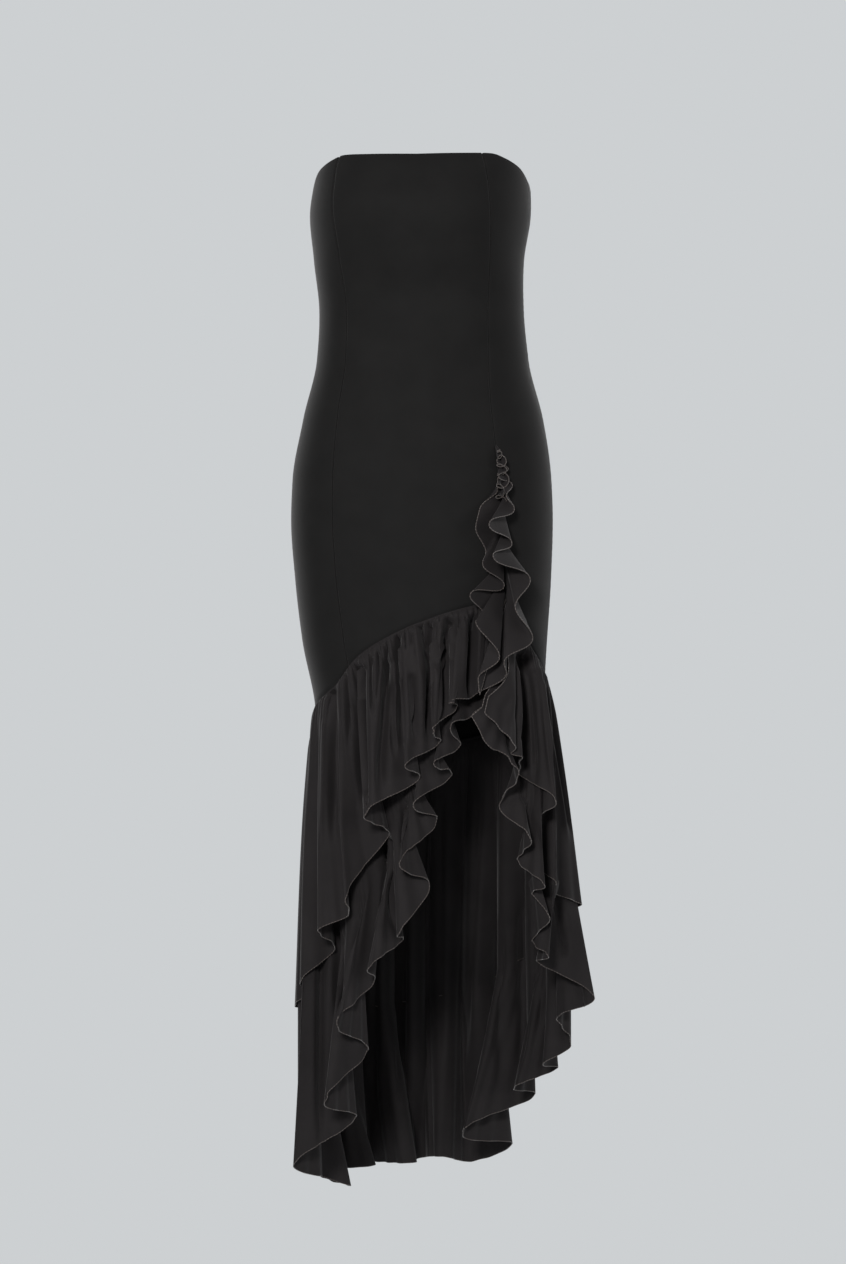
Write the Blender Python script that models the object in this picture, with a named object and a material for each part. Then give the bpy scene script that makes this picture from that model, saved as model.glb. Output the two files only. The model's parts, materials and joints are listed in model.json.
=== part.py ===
"""A strapless maxi dress, filled out as if worn, with a two-tier ruffle skirt and a ruffle cascade.

Lengths are in metres, +Z is up, and -Y is the front. The origin is the centre of the top opening, where
the bust holds the dress up. Right and left in the names are the wearer's. An angle goes round the
body in degrees: 0 is the front, 90 the wearer's left and -90 the wearer's right.

The sheath is cut in seven panels with princess seams. Two gathered tiers hang from its slanted
lower seam, and run on up the left princess seam as two flounces. Each tier is a wall spanned between
the seam and a hem that swings in and out through the folds of its table.
"""

import bpy
import math
import numpy as np

MM = 0.001

# Driving dimensions of the cloth
SHEATH_WALL = 1.5 * MM
RUFFLE_WALL = 1.2 * MM
PIECE_GAP = 0.3 * MM

# The fold tables give what the front view shows: side and drop at the dress's middle plane, seen
# from this far in front, from this far below the top edge, and from this far to the wearer's left
VIEW_DISTANCE = 3.5
VIEW_DROP = 0.590
VIEW_TURN = math.radians(4.0)

# The sheath's cross-sections in millimetres: how far below the origin, half width, depth before and
# behind the middle, shift to the side, squareness of the oval, and where the princess seams run on
# the front's right and left and on the back, as shares of the half width
SECTION_COLUMNS = (
    "drop", "half", "front", "back", "shift", "square", "right_seam", "left_seam", "back_seam"
)
SECTIONS = (
    (-20, 127, 92, 84, -1, 2.45, 0.74, 0.60, 0.56),
    (20, 136, 108, 89, -1, 2.45, 0.755, 0.63, 0.56),
    (60, 139.5, 117, 92, -3, 2.40, 0.74, 0.665, 0.55),
    (118, 133, 106, 88, -5, 2.30, 0.71, 0.71, 0.53),
    (180, 129.5, 90, 78, -2, 2.20, 0.69, 0.68, 0.50),
    (245, 134, 90, 84, -0.5, 2.20, 0.68, 0.65, 0.50),
    (321, 152, 97, 104, 0, 2.25, 0.665, 0.60, 0.50),
    (397, 164, 102, 117, -1.5, 2.25, 0.64, 0.62, 0.50),
    (448, 165.8, 103, 121, -1.5, 2.25, 0.635, 0.64, 0.50),
    (524, 162, 103, 117, 0, 2.25, 0.63, 0.66, 0.50),
    (600, 155, 101, 110, 2, 2.25, 0.61, 0.69, 0.50),
    (692, 144, 97, 104, 8, 2.20, 0.60, 0.69, 0.50),
    (780, 141, 95, 102, 8, 2.20, 0.60, 0.69, 0.50),
)

# A soft fullness over each bust point, worked in by the princess seams
BUST_SIDE = 0.066
BUST_DROP = 0.078
BUST_SPREAD = 0.048
BUST_FULLNESS = 0.006

# The top edge in millimetres: it rises a little over each bust point, dips at the sides and runs
# lower across the back
TOP_COLUMNS = ("angle", "drop")
TOP_EDGE = (
    (0, 0),
    (22, -1.5),
    (40, -3),
    (52, 2),
    (60, 6.5),
    (67, 11),
    (73, 17),
    (80, 24),
    (90, 28),
    (110, 30),
    (145, 29),
    (180, 28),
)

# The slanted seam where the tiers are sewn on, from the cascade round by the wearer's right
SEAM_COLUMNS = ("angle", "drop")
SEAM = (
    (39, 550),
    (22, 559),
    (8, 570),
    (-7, 590),
    (-28, 621),
    (-49, 660),
    (-90, 692),
    (-135, 722),
    (-180, 738),
    (-225, 712),
    (-270, 652),
    (-297, 614),
    (-321, 552),
)
SLIT_ANGLE = 39
LAP = 360

# Where each fold of a hem turns, as the front view shows it in millimetres, with the angle on the
# seam that the fold falls from. The folds swing out and in by turns.
TURN_COLUMNS = ("angle", "side", "drop", "depth")
UPPER_TURNS = (
    (36.0, 88, 655, -98),
    (24.0, 65, 671, -114),
    (12.7, 34, 678, -144),
    (11.0, 43, 685, -120),
    (4.0, 11, 716, -150),
    (2.5, 20, 730, -124),
    (-7.0, -23, 761, -150),
    (-8.5, -4, 773, -123),
    (-27.6, -75, 822, -142),
    (-30.0, -44, 847, -98),
    (-38.0, -71, 882, -92),
    (-46.0, -99, 934, -112),
    (-48.5, -94, 948, -94),
    (-58.0, -133, 968, -88),
    (-61.5, -112, 992, -44),
    (-75.0, -157, 1033, -40),
    (-82.0, -142, 1044, 4),
    (-95.0, -164, 1065, 42),
    (-101.0, -142, 1068, 74),
    (-112.0, -152, 1072, 124),
    (-118.0, -122, 1072, 140),
    (-128.0, -124, 1072, 190),
    (-134.0, -88, 1070, 186),
    (-144.0, -84, 1066, 232),
    (-150.0, -52, 1064, 208),
    (-161.0, -36, 1060, 250),
    (-167.0, -12, 1058, 216),
    (-178.0, 4, 1054, 254),
    (-184.0, 28, 1050, 216),
    (-195.0, 48, 1044, 246),
    (-201.0, 66, 1036, 204),
    (-212.0, 96, 1024, 226),
    (-218.0, 104, 1012, 182),
    (-229.0, 138, 998, 194),
    (-235.0, 138, 986, 146),
    (-245.0, 172, 972, 144),
    (-251.0, 160, 962, 98),
    (-260.0, 192, 950, 84),
    (-265.5, 176, 944, 44),
    (-272.0, 201, 937, 12),
    (-277.5, 166, 918, -34),
    (-281.0, 170, 908, -62),
    (-284.5, 147, 890, -48),
    (-287.5, 141, 861, -60),
    (-290.5, 143, 829, -76),
    (-294.5, 169, 805, -104),
    (-310.0, 126, 772, -84),
    (-315.0, 125, 748, -122),
    (-319.0, 79, 692, -146),
)
LOWER_TURNS = (
    (36.0, 84, 676, -92),
    (24.0, 61, 697, -106),
    (12.7, 33, 710, -136),
    (11.0, 47, 734, -110),
    (4.0, 14, 758, -138),
    (2.5, 37, 770, -104),
    (-7.0, -13, 812, -130),
    (-8.5, 17, 828, -98),
    (-14.0, -29, 887, -134),
    (-18.0, 8, 910, -104),
    (-23.0, -32, 975, -120),
    (-27.6, -25, 980, -90),
    (-34.0, -69, 1017, -118),
    (-38.0, -61, 1033, -80),
    (-46.0, -110, 1087, -105),
    (-48.5, -71, 1120, -55),
    (-58.0, -126, 1186, -80),
    (-61.5, -86, 1206, -25),
    (-75.0, -164, 1267, -20),
    (-82.0, -128, 1281, 30),
    (-95.0, -160, 1270, 74),
    (-104.0, -92, 1293, 100),
    (-116.0, -130, 1276, 160),
    (-126.0, -66, 1268, 150),
    (-142.0, -72, 1262, 236),
    (-153.0, -16, 1264, 196),
    (-168.0, -4, 1258, 262),
    (-185.0, 24, 1256, 212),
    (-197.0, 60, 1262, 252),
    (-210.0, 114, 1240, 214),
    (-219.0, 50, 1226, 160),
    (-235.0, 142, 1178, 176),
    (-242.0, 116, 1168, 118),
    (-248.0, 170, 1144, 118),
    (-254.0, 152, 1138, 74),
    (-260.0, 188, 1116, 72),
    (-265.5, 172, 1078, 36),
    (-272.0, 217, 1056, 10),
    (-277.5, 146, 1008, -10),
    (-281.0, 158, 1000, -46),
    (-284.5, 141, 986, -32),
    (-287.5, 160, 950, -70),
    (-290.5, 140, 921, -68),
    (-294.5, 154, 912, -94),
    (-299.0, 122, 882, -72),
    (-304.0, 137, 852, -108),
    (-310.0, 97, 812, -86),
    (-315.0, 121, 768, -120),
    (-317.0, 93, 740, -130),
    (-319.0, 62, 697, -142),
)

# The flounces fall from the left princess seam: here the first column is how far along that line,
# from the tiers' seam at 0 to the top of the cascade at 1
CASCADE_TOP_DROP = 0.366
CASCADE_COLUMNS = ("along", "side", "drop", "depth")
RIGHT_FLOUNCE_TURNS = (
    (0.00, 72, 670, -148),
    (0.03, 70, 650, -148),
    (0.07, 97, 624, -138),
    (0.14, 67, 577, -138),
    (0.19, 77, 567, -116),
    (0.25, 60, 542, -134),
    (0.34, 103, 532, -106),
    (0.44, 76, 505, -126),
    (0.52, 80, 488, -110),
    (0.62, 67, 458, -122),
    (0.71, 72, 434, -112),
    (0.82, 94, 413, -100),
)
LEFT_FLOUNCE_TURNS = (
    (0.00, 70, 667, -136),
    (0.04, 106, 643, -134),
    (0.07, 103, 628, -142),
    (0.13, 139, 600, -120),
    (0.24, 117, 557, -142),
    (0.35, 136, 522, -120),
    (0.48, 89, 494, -148),
    (0.56, 113, 477, -118),
    (0.66, 84, 454, -144),
    (0.75, 116, 433, -108),
    (0.80, 106, 418, -116),
    (0.85, 113, 402, -98),
    (0.89, 96, 393, -112),
    (0.93, 108, 382, -96),
    (0.97, 94, 374, -103),
    (1.00, 98, 366, -95),
)

# The hem's turns are this round: the length of a turn's handle as a share of the swing
TURN_ROUNDNESS = 0.27
# How squarely the hem rounds the tip of a fold: 1 is at right angles to it
TURN_SQUARENESS = 0.85
# A fold opens as this power of the way down, so that it is well open soon below the seam
FOLD_GROWTH = 0.9
# The cloth puffs out by this much below the gathers
TIER_PUFF = 6.0 * MM
# The tiers' top edges beside each other under the sheath's edge, and the slack between them
UPPER_TOP_OFFSET = 1.7 * MM
TIER_SPACING = 2.3 * MM
TIER_SLACK = 2.0 * MM
# In front the lower tier hangs behind the upper one's folds: where that ends on either side, and
# over how many degrees it gives way
FRONT_END_RIGHT = 56
FRONT_END_LEFT = 56
FRONT_FADE = 18
BEHIND_SLACK = 7.0 * MM
BEHIND_DROP = 14.0 * MM
# Beside the slit's left edge it hangs closer: how close, how much higher its folds start, and over
# how many degrees
CLOSE_SHARE = 0.3
CLOSE_RISE = 6 * MM
CLOSE_WIDTH = 9.0
# The puff and the gathers fade out over this many degrees beside the slit
FLAT_BY_SLIT = 9.0
# On the slit's left the free edges swing outwards before they turn in to their hems: how far, over
# how many degrees, and how late on the way down
UPPER_SWEEP = 17 * MM
LOWER_SWEEP = 11 * MM
SWEEP_WIDTH = 7.0
SWEEP_LATENESS = 2.3
SWEEP_END = 0.85
# The gathers: how far every other column stands out, and how far down they fade
GATHER_DEPTH = 1.1 * MM
GATHER_FADE = 55 * MM
# Half the space between the two flounces where they are sewn on
FLOUNCE_SPACING = 2.2 * MM
# How far the right flounce laps over the left one at their low end
FLOUNCE_LAP = 3.0 * MM
# The tiers are joined at the side seams and at the back, at these angles
TIER_ENDS = (-270.0, -180.0, -90.0)

# Columns and rows of the walls
SHEATH_ROWS = 12
FRONT_COLUMNS = 12
SIDE_COLUMNS = 5
BACK_COLUMNS = 7
UPPER_ROWS = 5
UPPER_ROW_CROWDING = 1.3
LOWER_ROWS_UNDER = 3
LOWER_ROWS_BELOW = 3
GATHER_STEP = 5.4 * MM
FEWEST_COLUMNS_PER_TURN = 3
FLOUNCE_ROWS = 3
FLOUNCE_COLUMNS_PER_TURN = 5


def clear_scene():
    for thing in list(bpy.data.objects):
        bpy.data.objects.remove(thing)


def cloth_material(name, colour, roughness):
    material = bpy.data.materials.new(name)
    material.use_nodes = True
    shader = material.node_tree.nodes["Principled BSDF"]
    shader.inputs["Base Color"].default_value = (*colour, 1)
    shader.inputs["Roughness"].default_value = roughness
    shader.inputs["Metallic"].default_value = 0
    return material


def column(rows, names, name):
    return np.array([row[names.index(name)] for row in rows], float)


def smooth(x, knots, values):
    """Reads a curve that passes smoothly through the knots, without overshooting them."""
    x = np.asarray(x, float)
    order = np.argsort(knots)
    knots, values = knots[order], values[order]
    steps = np.diff(knots)
    slopes = np.diff(values) / steps
    same_way = slopes[:-1] * slopes[1:] > 0
    middle = np.where(same_way, 2 * slopes[:-1] * slopes[1:] / (slopes[:-1] + slopes[1:] + 1e-30), 0)
    tangents = np.concatenate([slopes[:1], middle, slopes[-1:]])
    i = np.clip(np.searchsorted(knots, x) - 1, 0, len(steps) - 1)
    t = np.clip((x - knots[i]) / steps[i], 0, 1)
    h = steps[i]
    return (
        values[i] * (1 + 2 * t) * (1 - t) ** 2
        + tangents[i] * h * t * (1 - t) ** 2
        + values[i + 1] * t * t * (3 - 2 * t)
        - tangents[i + 1] * h * t * t * (1 - t)
    )


def section(drop, name):
    """A measure of the sheath's cross-section this far down, in metres or as a share."""
    size = MM if name in ("half", "front", "back", "shift") else 1
    knots = column(SECTIONS, SECTION_COLUMNS, "drop") * MM
    return smooth(drop, knots, column(SECTIONS, SECTION_COLUMNS, name)) * size


def body_point(angle, drop):
    """The point of the sheath's middle surface at an angle and a drop below the origin."""
    angle, drop = np.broadcast_arrays(np.radians(angle), np.asarray(drop, float))
    power = 2 / section(drop, "square")
    across = np.sign(np.sin(angle)) * np.abs(np.sin(angle)) ** power
    along = np.sign(np.cos(angle)) * np.abs(np.cos(angle)) ** power
    x = section(drop, "shift") + section(drop, "half") * across
    y = -np.where(along > 0, section(drop, "front"), section(drop, "back")) * along
    for side in (-BUST_SIDE, BUST_SIDE):
        away = ((x - side) ** 2 + (drop - BUST_DROP) ** 2) / BUST_SPREAD**2
        y = y - BUST_FULLNESS * np.exp(-away) * (along > 0)
    return np.stack([x, y, -drop], axis=-1)


def body_normal(angle, drop):
    step_angle, step_drop = 0.5, 0.002
    round_it = body_point(angle + step_angle, drop) - body_point(angle - step_angle, drop)
    down_it = body_point(angle, drop + step_drop) - body_point(angle, drop - step_drop)
    return unit(np.cross(down_it, round_it))


def unit(vectors):
    return vectors / np.maximum(np.linalg.norm(vectors, axis=-1, keepdims=True), 1e-12)


def seam_angle(drop, name):
    """The angle at which a princess seam runs this far down."""
    share = section(drop, name)
    return np.degrees(np.arcsin(share ** (section(drop, "square") / 2)))


def top_drop(angle):
    turned = np.abs(np.mod(np.asarray(angle, float) + LAP / 2, LAP) - LAP / 2)
    knots = column(TOP_EDGE, TOP_COLUMNS, "angle")
    return smooth(turned, knots, column(TOP_EDGE, TOP_COLUMNS, "drop")) * MM


def tier_seam_drop(angle):
    """How far down the tiers' seam runs, for an angle from the slit round to the slit again."""
    angle = SLIT_ANGLE - np.mod(SLIT_ANGLE - np.asarray(angle, float), LAP)
    knots = column(SEAM, SEAM_COLUMNS, "angle")
    return smooth(angle, knots, column(SEAM, SEAM_COLUMNS, "drop")) * MM


def from_front_view(side, drop, depth):
    """Turns what the front view shows into a place in the dress's own frame."""
    near = 1 + depth / VIEW_DISTANCE
    across = side * near
    height = -VIEW_DROP + (VIEW_DROP - drop) * near
    x = across * math.cos(VIEW_TURN) - depth * math.sin(VIEW_TURN)
    y = across * math.sin(VIEW_TURN) + depth * math.cos(VIEW_TURN)
    return np.stack([x, y, height], axis=-1)


class Hem:
    """A hem that swings from turn to turn of a fold table, read by its first column."""

    def __init__(self, rows):
        table = np.array(rows, float)
        self.keys = table[:, 0]
        self.turns = from_front_view(table[:, 1] * MM, table[:, 2] * MM, table[:, 3] * MM)
        self.swings = self.turns[1:] - self.turns[:-1]
        ahead = self.turns[2:] - self.turns[:-2]
        tips = unit(self.turns[1:-1] - (self.turns[2:] + self.turns[:-2]) / 2)
        across = ahead - tips * np.sum(ahead * tips, axis=1, keepdims=True) * TURN_SQUARENESS
        self.headings = unit(np.concatenate([self.swings[:1], across, self.swings[-1:]]))
        middle = (self.turns[:-1] + self.turns[1:]) / 2
        self.mean = np.concatenate([self.turns[:1], middle, self.turns[-1:]])
        self.mean_keys = np.concatenate(
            [self.keys[:1], (self.keys[:-1] + self.keys[1:]) / 2, self.keys[-1:]]
        )

    def place(self, key):
        """Which swing a key lies in, and how far along it."""
        way = np.sign(self.keys[-1] - self.keys[0])
        i = np.clip(np.searchsorted(self.keys * way, key * way) - 1, 0, len(self.keys) - 2)
        t = np.clip((key - self.keys[i]) / (self.keys[i + 1] - self.keys[i]), 0, 1)
        return i, t

    def point(self, key):
        """The hem itself, which rounds each turn."""
        i, t = self.place(key)
        t = t[..., None]
        start, end = self.turns[i], self.turns[i + 1]
        reach = np.linalg.norm(end - start, axis=-1, keepdims=True) * TURN_ROUNDNESS
        first, second = start + self.headings[i] * reach, end - self.headings[i + 1] * reach
        return (
            start * (1 - t) ** 3
            + 3 * first * t * (1 - t) ** 2
            + 3 * second * t * t * (1 - t)
            + end * t**3
        )

    def mean_point(self, key):
        """The hem with its folds smoothed away."""
        return np.stack([smooth(key, self.mean_keys, self.mean[:, k]) for k in range(3)], axis=-1)

    def fold_depth(self, key, outward):
        """Half of how far the folds swing in and out beside a key."""
        i, t = self.place(key)
        last = len(self.swings) - 1
        around = [self.swings[np.clip(i + k, 0, last)] for k in (-2, -1, 0, 1, 2)]
        deep = np.array([np.abs(np.sum(swing * outward, axis=-1)) for swing in around]) / 2
        return np.max(deep[:4], axis=0) * (1 - t) + np.max(deep[1:], axis=0) * t


UPPER_HEM = Hem(UPPER_TURNS)
LOWER_HEM = Hem(LOWER_TURNS)
RIGHT_FLOUNCE_HEM = Hem(RIGHT_FLOUNCE_TURNS)
LEFT_FLOUNCE_HEM = Hem(LEFT_FLOUNCE_TURNS)


def spanned(top, mean, folded, way_down, growth=FOLD_GROWTH):
    """A point part of the way down from a seam to a folded hem."""
    share = way_down[..., None]
    return top + (mean - top) * share + (folded - mean) * share**growth


def from_slit(angle):
    """Rises from 0 at either end of the tiers to 1 a little way round."""
    near = np.minimum(UPPER_HEM.keys[0] - angle, angle - UPPER_HEM.keys[-1])
    return np.clip(near / FLAT_BY_SLIT, 0, 1)


def swept(angle, way_down, reach):
    """How far the left tiers' free edge swings to the wearer's left on its way down."""
    near = np.clip(1 - (angle - UPPER_HEM.keys[-1]) / SWEEP_WIDTH, 0, 1) ** 2
    share = np.clip(way_down / SWEEP_END, 0, 1)
    swing = reach * near * np.sin(math.pi * share**SWEEP_LATENESS)
    return swing[..., None] * np.array([math.cos(VIEW_TURN), math.sin(VIEW_TURN), 0])


def upper_point(angle, way_down):
    """The upper tier without its gathers."""
    drop = tier_seam_drop(angle) + PIECE_GAP + SHEATH_WALL / 2
    outward = body_normal(angle, drop)
    top = body_point(angle, drop) + outward * UPPER_TOP_OFFSET
    hung = spanned(top, UPPER_HEM.mean_point(angle), UPPER_HEM.point(angle), way_down)
    puff = TIER_PUFF * np.sin(math.pi * np.clip(way_down, 0, 1) ** 0.7) * from_slit(angle)
    return hung + outward * puff[..., None] + swept(angle, way_down, UPPER_SWEEP)


def upper_normal(angle, way_down):
    step = 0.15
    round_it = upper_point(angle - step, way_down) - upper_point(angle + step, way_down)
    down_it = upper_point(angle, way_down + 0.01) - upper_point(angle, way_down - 0.01)
    return unit(np.cross(round_it, down_it))


def upper_length(angle):
    one = np.ones_like(angle)
    return np.linalg.norm(upper_point(angle, one) - upper_point(angle, one * 0), axis=-1)


def follows_upper(angle):
    """1 where the lower tier lies in the upper one's folds, and 0 in front, where it hangs behind them."""
    right = (-angle - FRONT_END_RIGHT) / FRONT_FADE
    left = (angle + LAP - FRONT_END_LEFT) / FRONT_FADE
    return np.clip(np.minimum(right, left), 0, 1)


def lower_point(angle, way_down):
    """The lower tier: close inside the upper one as far as its hem, then falling to its own hem.

    way_down goes from 0 at the seam to 1 at the upper hem, and to 2 at the lower hem.
    """
    under = np.clip(way_down, 0, 1)
    one = np.ones_like(under)
    spacing = TIER_SPACING + TIER_SLACK * np.sin(math.pi * under)
    spacing = spacing + GATHER_DEPTH * np.exp(-((under * upper_length(angle) / GATHER_FADE) ** 2))
    normal = upper_normal(angle, np.maximum(under, 0.02))
    nested = upper_point(angle, under) - normal * spacing[..., None]
    hem = LOWER_HEM.point(angle)
    drop = tier_seam_drop(angle) + PIECE_GAP + SHEATH_WALL / 2
    outward = body_normal(angle, drop)
    top = body_point(angle, drop) + outward * (UPPER_TOP_OFFSET - TIER_SPACING - GATHER_DEPTH)
    near_edge = 1 - np.clip((angle - UPPER_HEM.keys[-1]) / CLOSE_WIDTH, 0, 1) ** 2
    inset = UPPER_HEM.fold_depth(angle, outward) + BEHIND_SLACK
    inset = inset * (1 - (1 - CLOSE_SHARE) * near_edge)
    behind = UPPER_HEM.mean_point(angle) - outward * inset[..., None]
    behind[..., 2] += CLOSE_RISE * near_edge - BEHIND_DROP * (1 - near_edge)
    puff = TIER_PUFF * np.sin(math.pi * under**0.7) * from_slit(angle) * 0.7
    inner = top + (behind - top) * under[..., None] + outward * puff[..., None]
    inner = inner + swept(angle, under, LOWER_SWEEP)
    follow = (follows_upper(angle) * one)[..., None]
    start = nested * follow + inner * (1 - follow)
    return start + (hem - start) * np.clip(way_down - 1, 0, 1)[..., None]


def flounce_root(along, offset):
    """The line on the left princess seam that a flounce is sewn to, over the other at its low end."""
    cusp = tier_seam_drop(SLIT_ANGLE)
    drop = cusp + (CASCADE_TOP_DROP - cusp) * along
    angle = seam_angle(drop, "left_seam")
    outward = body_normal(angle, drop)
    clear = SHEATH_WALL / 2 + PIECE_GAP + RUFFLE_WALL / 2
    sideways = unit(np.cross(outward, np.array([0.0, 0.0, 1.0])))
    ahead = FLOUNCE_LAP * np.clip(1 - along / 0.12, 0, 1) * (offset < 0)
    return body_point(angle, drop) + outward * (clear + ahead)[..., None] - sideways * offset


def flounce_point(hem, along, way_down, offset):
    root = flounce_root(along, offset)
    return root + (hem.point(along) - root) * way_down[..., None]


def wall(name, middle, out, thickness, material):
    """A closed wall of even thickness on a grid of middle points and their normals."""
    rows, columns = middle.shape[:2]
    points = np.concatenate([(middle + out * thickness / 2), (middle - out * thickness / 2)])
    points = points.reshape(-1, 3)
    outer = np.arange(rows * columns).reshape(rows, columns)
    inner = outer + rows * columns
    triangles = []

    def patch(a, b, c, d):
        triangles.extend([(a, b, c), (a, c, d)])

    for i in range(rows - 1):
        for j in range(columns - 1):
            corners = (i, j), (i + 1, j), (i + 1, j + 1), (i, j + 1)
            patch(*(outer[corner] for corner in corners))
            a, b, c, d = (inner[corner] for corner in corners)
            triangles.extend([(a, c, b), (a, d, c)])
    for i in range(rows - 1):
        patch(outer[i, 0], inner[i, 0], inner[i + 1, 0], outer[i + 1, 0])
        patch(outer[i + 1, -1], inner[i + 1, -1], inner[i, -1], outer[i, -1])
    for j in range(columns - 1):
        patch(outer[0, j + 1], inner[0, j + 1], inner[0, j], outer[0, j])
        patch(outer[-1, j], inner[-1, j], inner[-1, j + 1], outer[-1, j + 1])
    mesh = bpy.data.meshes.new(name)
    mesh.from_pydata(points.tolist(), [], [tuple(int(k) for k in t) for t in triangles])
    mesh.materials.append(material)
    mesh.shade_smooth()
    mesh.set_sharp_from_angle(angle=math.radians(50))
    thing = bpy.data.objects.new(name, mesh)
    bpy.context.scene.collection.objects.link(thing)
    return thing


def panel(name, first_edge, last_edge, columns, material):
    """A sheath panel between two edges, each given as a function of the drop, from top edge to tier seam."""
    share = np.linspace(0, 1, columns + 1)[None, :]

    def angle_at(drop):
        first, last = first_edge(drop), last_edge(drop)
        width = np.linalg.norm(body_point(last, drop) - body_point(first, drop), axis=-1)
        inset = (PIECE_GAP / 2) / width * (last - first)
        return first + inset + (last - first - 2 * inset) * share

    top = top_drop(angle_at(np.zeros_like(share)))
    low = np.full_like(share, 0.65)
    for _ in range(30):
        low = (low + tier_seam_drop(np.clip(angle_at(low), SLIT_ANGLE - LAP, SLIT_ANGLE))) / 2
    way = np.linspace(0, 1, SHEATH_ROWS + 1)[:, None]
    drop = top + (low - top) * way
    angle = np.concatenate([angle_at(row[None, :]) for row in drop])
    return wall(name, body_point(angle, drop), body_normal(angle, drop), SHEATH_WALL, material)


def build_sheath(material):
    def front_right(drop):
        return -seam_angle(drop, "right_seam")

    def front_left(drop):
        return seam_angle(drop, "left_seam")

    def back_right(drop):
        return -180 + seam_angle(drop, "back_seam")

    def back_left(drop):
        return -180 - seam_angle(drop, "back_seam")

    def fixed(angle):
        return lambda drop: drop * 0 + angle

    panel("front_panel", front_right, front_left, FRONT_COLUMNS, material)
    panel("side_front_right", fixed(-90), front_right, SIDE_COLUMNS, material)
    panel("side_back_right", back_right, fixed(-90), SIDE_COLUMNS, material)
    panel("back_right", fixed(-180), back_right, BACK_COLUMNS, material)
    panel("back_left", back_left, fixed(-180), BACK_COLUMNS, material)
    panel("side_back_left", fixed(-270), back_left, SIDE_COLUMNS, material)
    panel("side_front_left", lambda drop: front_left(drop) - LAP, fixed(-270), SIDE_COLUMNS, material)


def tier_keys():
    """The angles of both tiers' columns: every turn of either hem, with gathers evenly set between."""
    turns = np.concatenate([UPPER_HEM.keys, LOWER_HEM.keys, TIER_ENDS])
    turns = np.unique(np.clip(turns, UPPER_HEM.keys[-1], UPPER_HEM.keys[0]))
    keys = [turns[:1]]
    for first, last in zip(turns[:-1], turns[1:]):
        start = body_point(first, tier_seam_drop(first))
        end = body_point(last, tier_seam_drop(last))
        width = np.linalg.norm(end - start)
        count = max(FEWEST_COLUMNS_PER_TURN, round(width / GATHER_STEP))
        keys.append(np.linspace(first, last, count + 1)[1:])
    return np.concatenate(keys)


def gather_heights(keys, way_down):
    """How far each column of gathers stands out. Each gather has its own length."""
    seam = body_point(keys, tier_seam_drop(keys))
    steps = np.linalg.norm(np.gradient(seam, axis=0), axis=1)
    height = np.minimum(GATHER_DEPTH, steps * 0.22) * from_slit(keys)
    side = np.where(np.arange(len(keys)) % 2 == 0, 1.0, -1.0)
    reach = GATHER_FADE * (0.75 + 0.6 * np.abs(np.sin(keys * 1.7) * np.cos(keys * 0.31)))
    from_seam = way_down * upper_length(keys)
    return side * height * np.exp(-((from_seam / reach) ** 2))


def normals_of(grid):
    return unit(np.cross(np.gradient(grid, axis=0), np.gradient(grid, axis=1)))


def in_pieces(grid, keys, borders):
    """Cuts a grid of columns at the seams between pieces, a little short of each seam."""
    normals = normals_of(grid)
    for first, last in zip(borders[:-1], borders[1:]):
        chosen = (keys >= first - 1e-6) & (keys <= last + 1e-6)
        piece = grid[:, chosen].copy()
        piece[:, 0] += unit(piece[:, 1] - piece[:, 0]) * PIECE_GAP / 2
        piece[:, -1] += unit(piece[:, -2] - piece[:, -1]) * PIECE_GAP / 2
        yield piece, normals[:, chosen]


def build_tiers(material):
    keys = tier_keys()
    borders = (keys[0], *TIER_ENDS, keys[-1])
    names = ("left_front", "left_back", "right_back", "right_front")
    ways = np.linspace(0, 1, UPPER_ROWS + 1)[:, None] ** UPPER_ROW_CROWDING
    keys_grid, way_grid = np.broadcast_arrays(keys[None, :], ways)
    upper = upper_point(keys_grid, way_grid)
    heights = np.stack([gather_heights(keys, way) for way in ways])
    upper = upper + upper_normal(keys_grid, np.maximum(way_grid, 0.02)) * heights[..., None]
    for name, (piece, normals) in zip(names, in_pieces(upper, keys, borders)):
        wall("upper_ruffle_" + name, piece, normals, RUFFLE_WALL, material)
    under = np.linspace(0, 1, LOWER_ROWS_UNDER + 1)
    below = np.linspace(1, 2, LOWER_ROWS_BELOW + 1)[1:]
    keys_grid, way_grid = np.broadcast_arrays(keys[None, :], np.concatenate([under, below])[:, None])
    lower = lower_point(keys_grid, way_grid)
    for name, (piece, normals) in zip(names, in_pieces(lower, keys, borders)):
        wall("lower_ruffle_" + name, piece, normals, RUFFLE_WALL, material)


def build_cascade(material):
    for name, hem, offset in (
        ("cascade_right", RIGHT_FLOUNCE_HEM, -FLOUNCE_SPACING),
        ("cascade_left", LEFT_FLOUNCE_HEM, FLOUNCE_SPACING),
    ):
        columns = (len(hem.keys) - 1) * FLOUNCE_COLUMNS_PER_TURN
        place = np.linspace(0, len(hem.keys) - 1, columns + 1)
        along = np.interp(place, np.arange(len(hem.keys)), hem.keys)
        ways = np.linspace(0, 1, FLOUNCE_ROWS + 1)
        along_grid, way_grid = np.broadcast_arrays(along[None, :], ways[:, None])
        grid = flounce_point(hem, along_grid, way_grid, offset)
        wall(name, grid, normals_of(grid), RUFFLE_WALL, material)


clear_scene()
build_sheath(cloth_material("black_crepe", (0.014, 0.014, 0.014), 0.75))
ruffle_cloth = cloth_material("black_ruffle", (0.016, 0.015, 0.015), 0.75)
build_tiers(ruffle_cloth)
build_cascade(ruffle_cloth)
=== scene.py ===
"""The looks of a strapless maxi dress: fine cloth with gathers, folds and rolled hems on its solids' form.

Lengths are in metres, +Z is up, and -Y is the front. Right and left in the names are the wearer's.
An angle goes round the body in degrees: 0 is the front, 90 the wearer's left and -90 the wearer's
right. The tables and the surfaces under them are those of the solids. Here they are read on fine
grids, with the gathers, creases and rolled hems added.
"""

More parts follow.
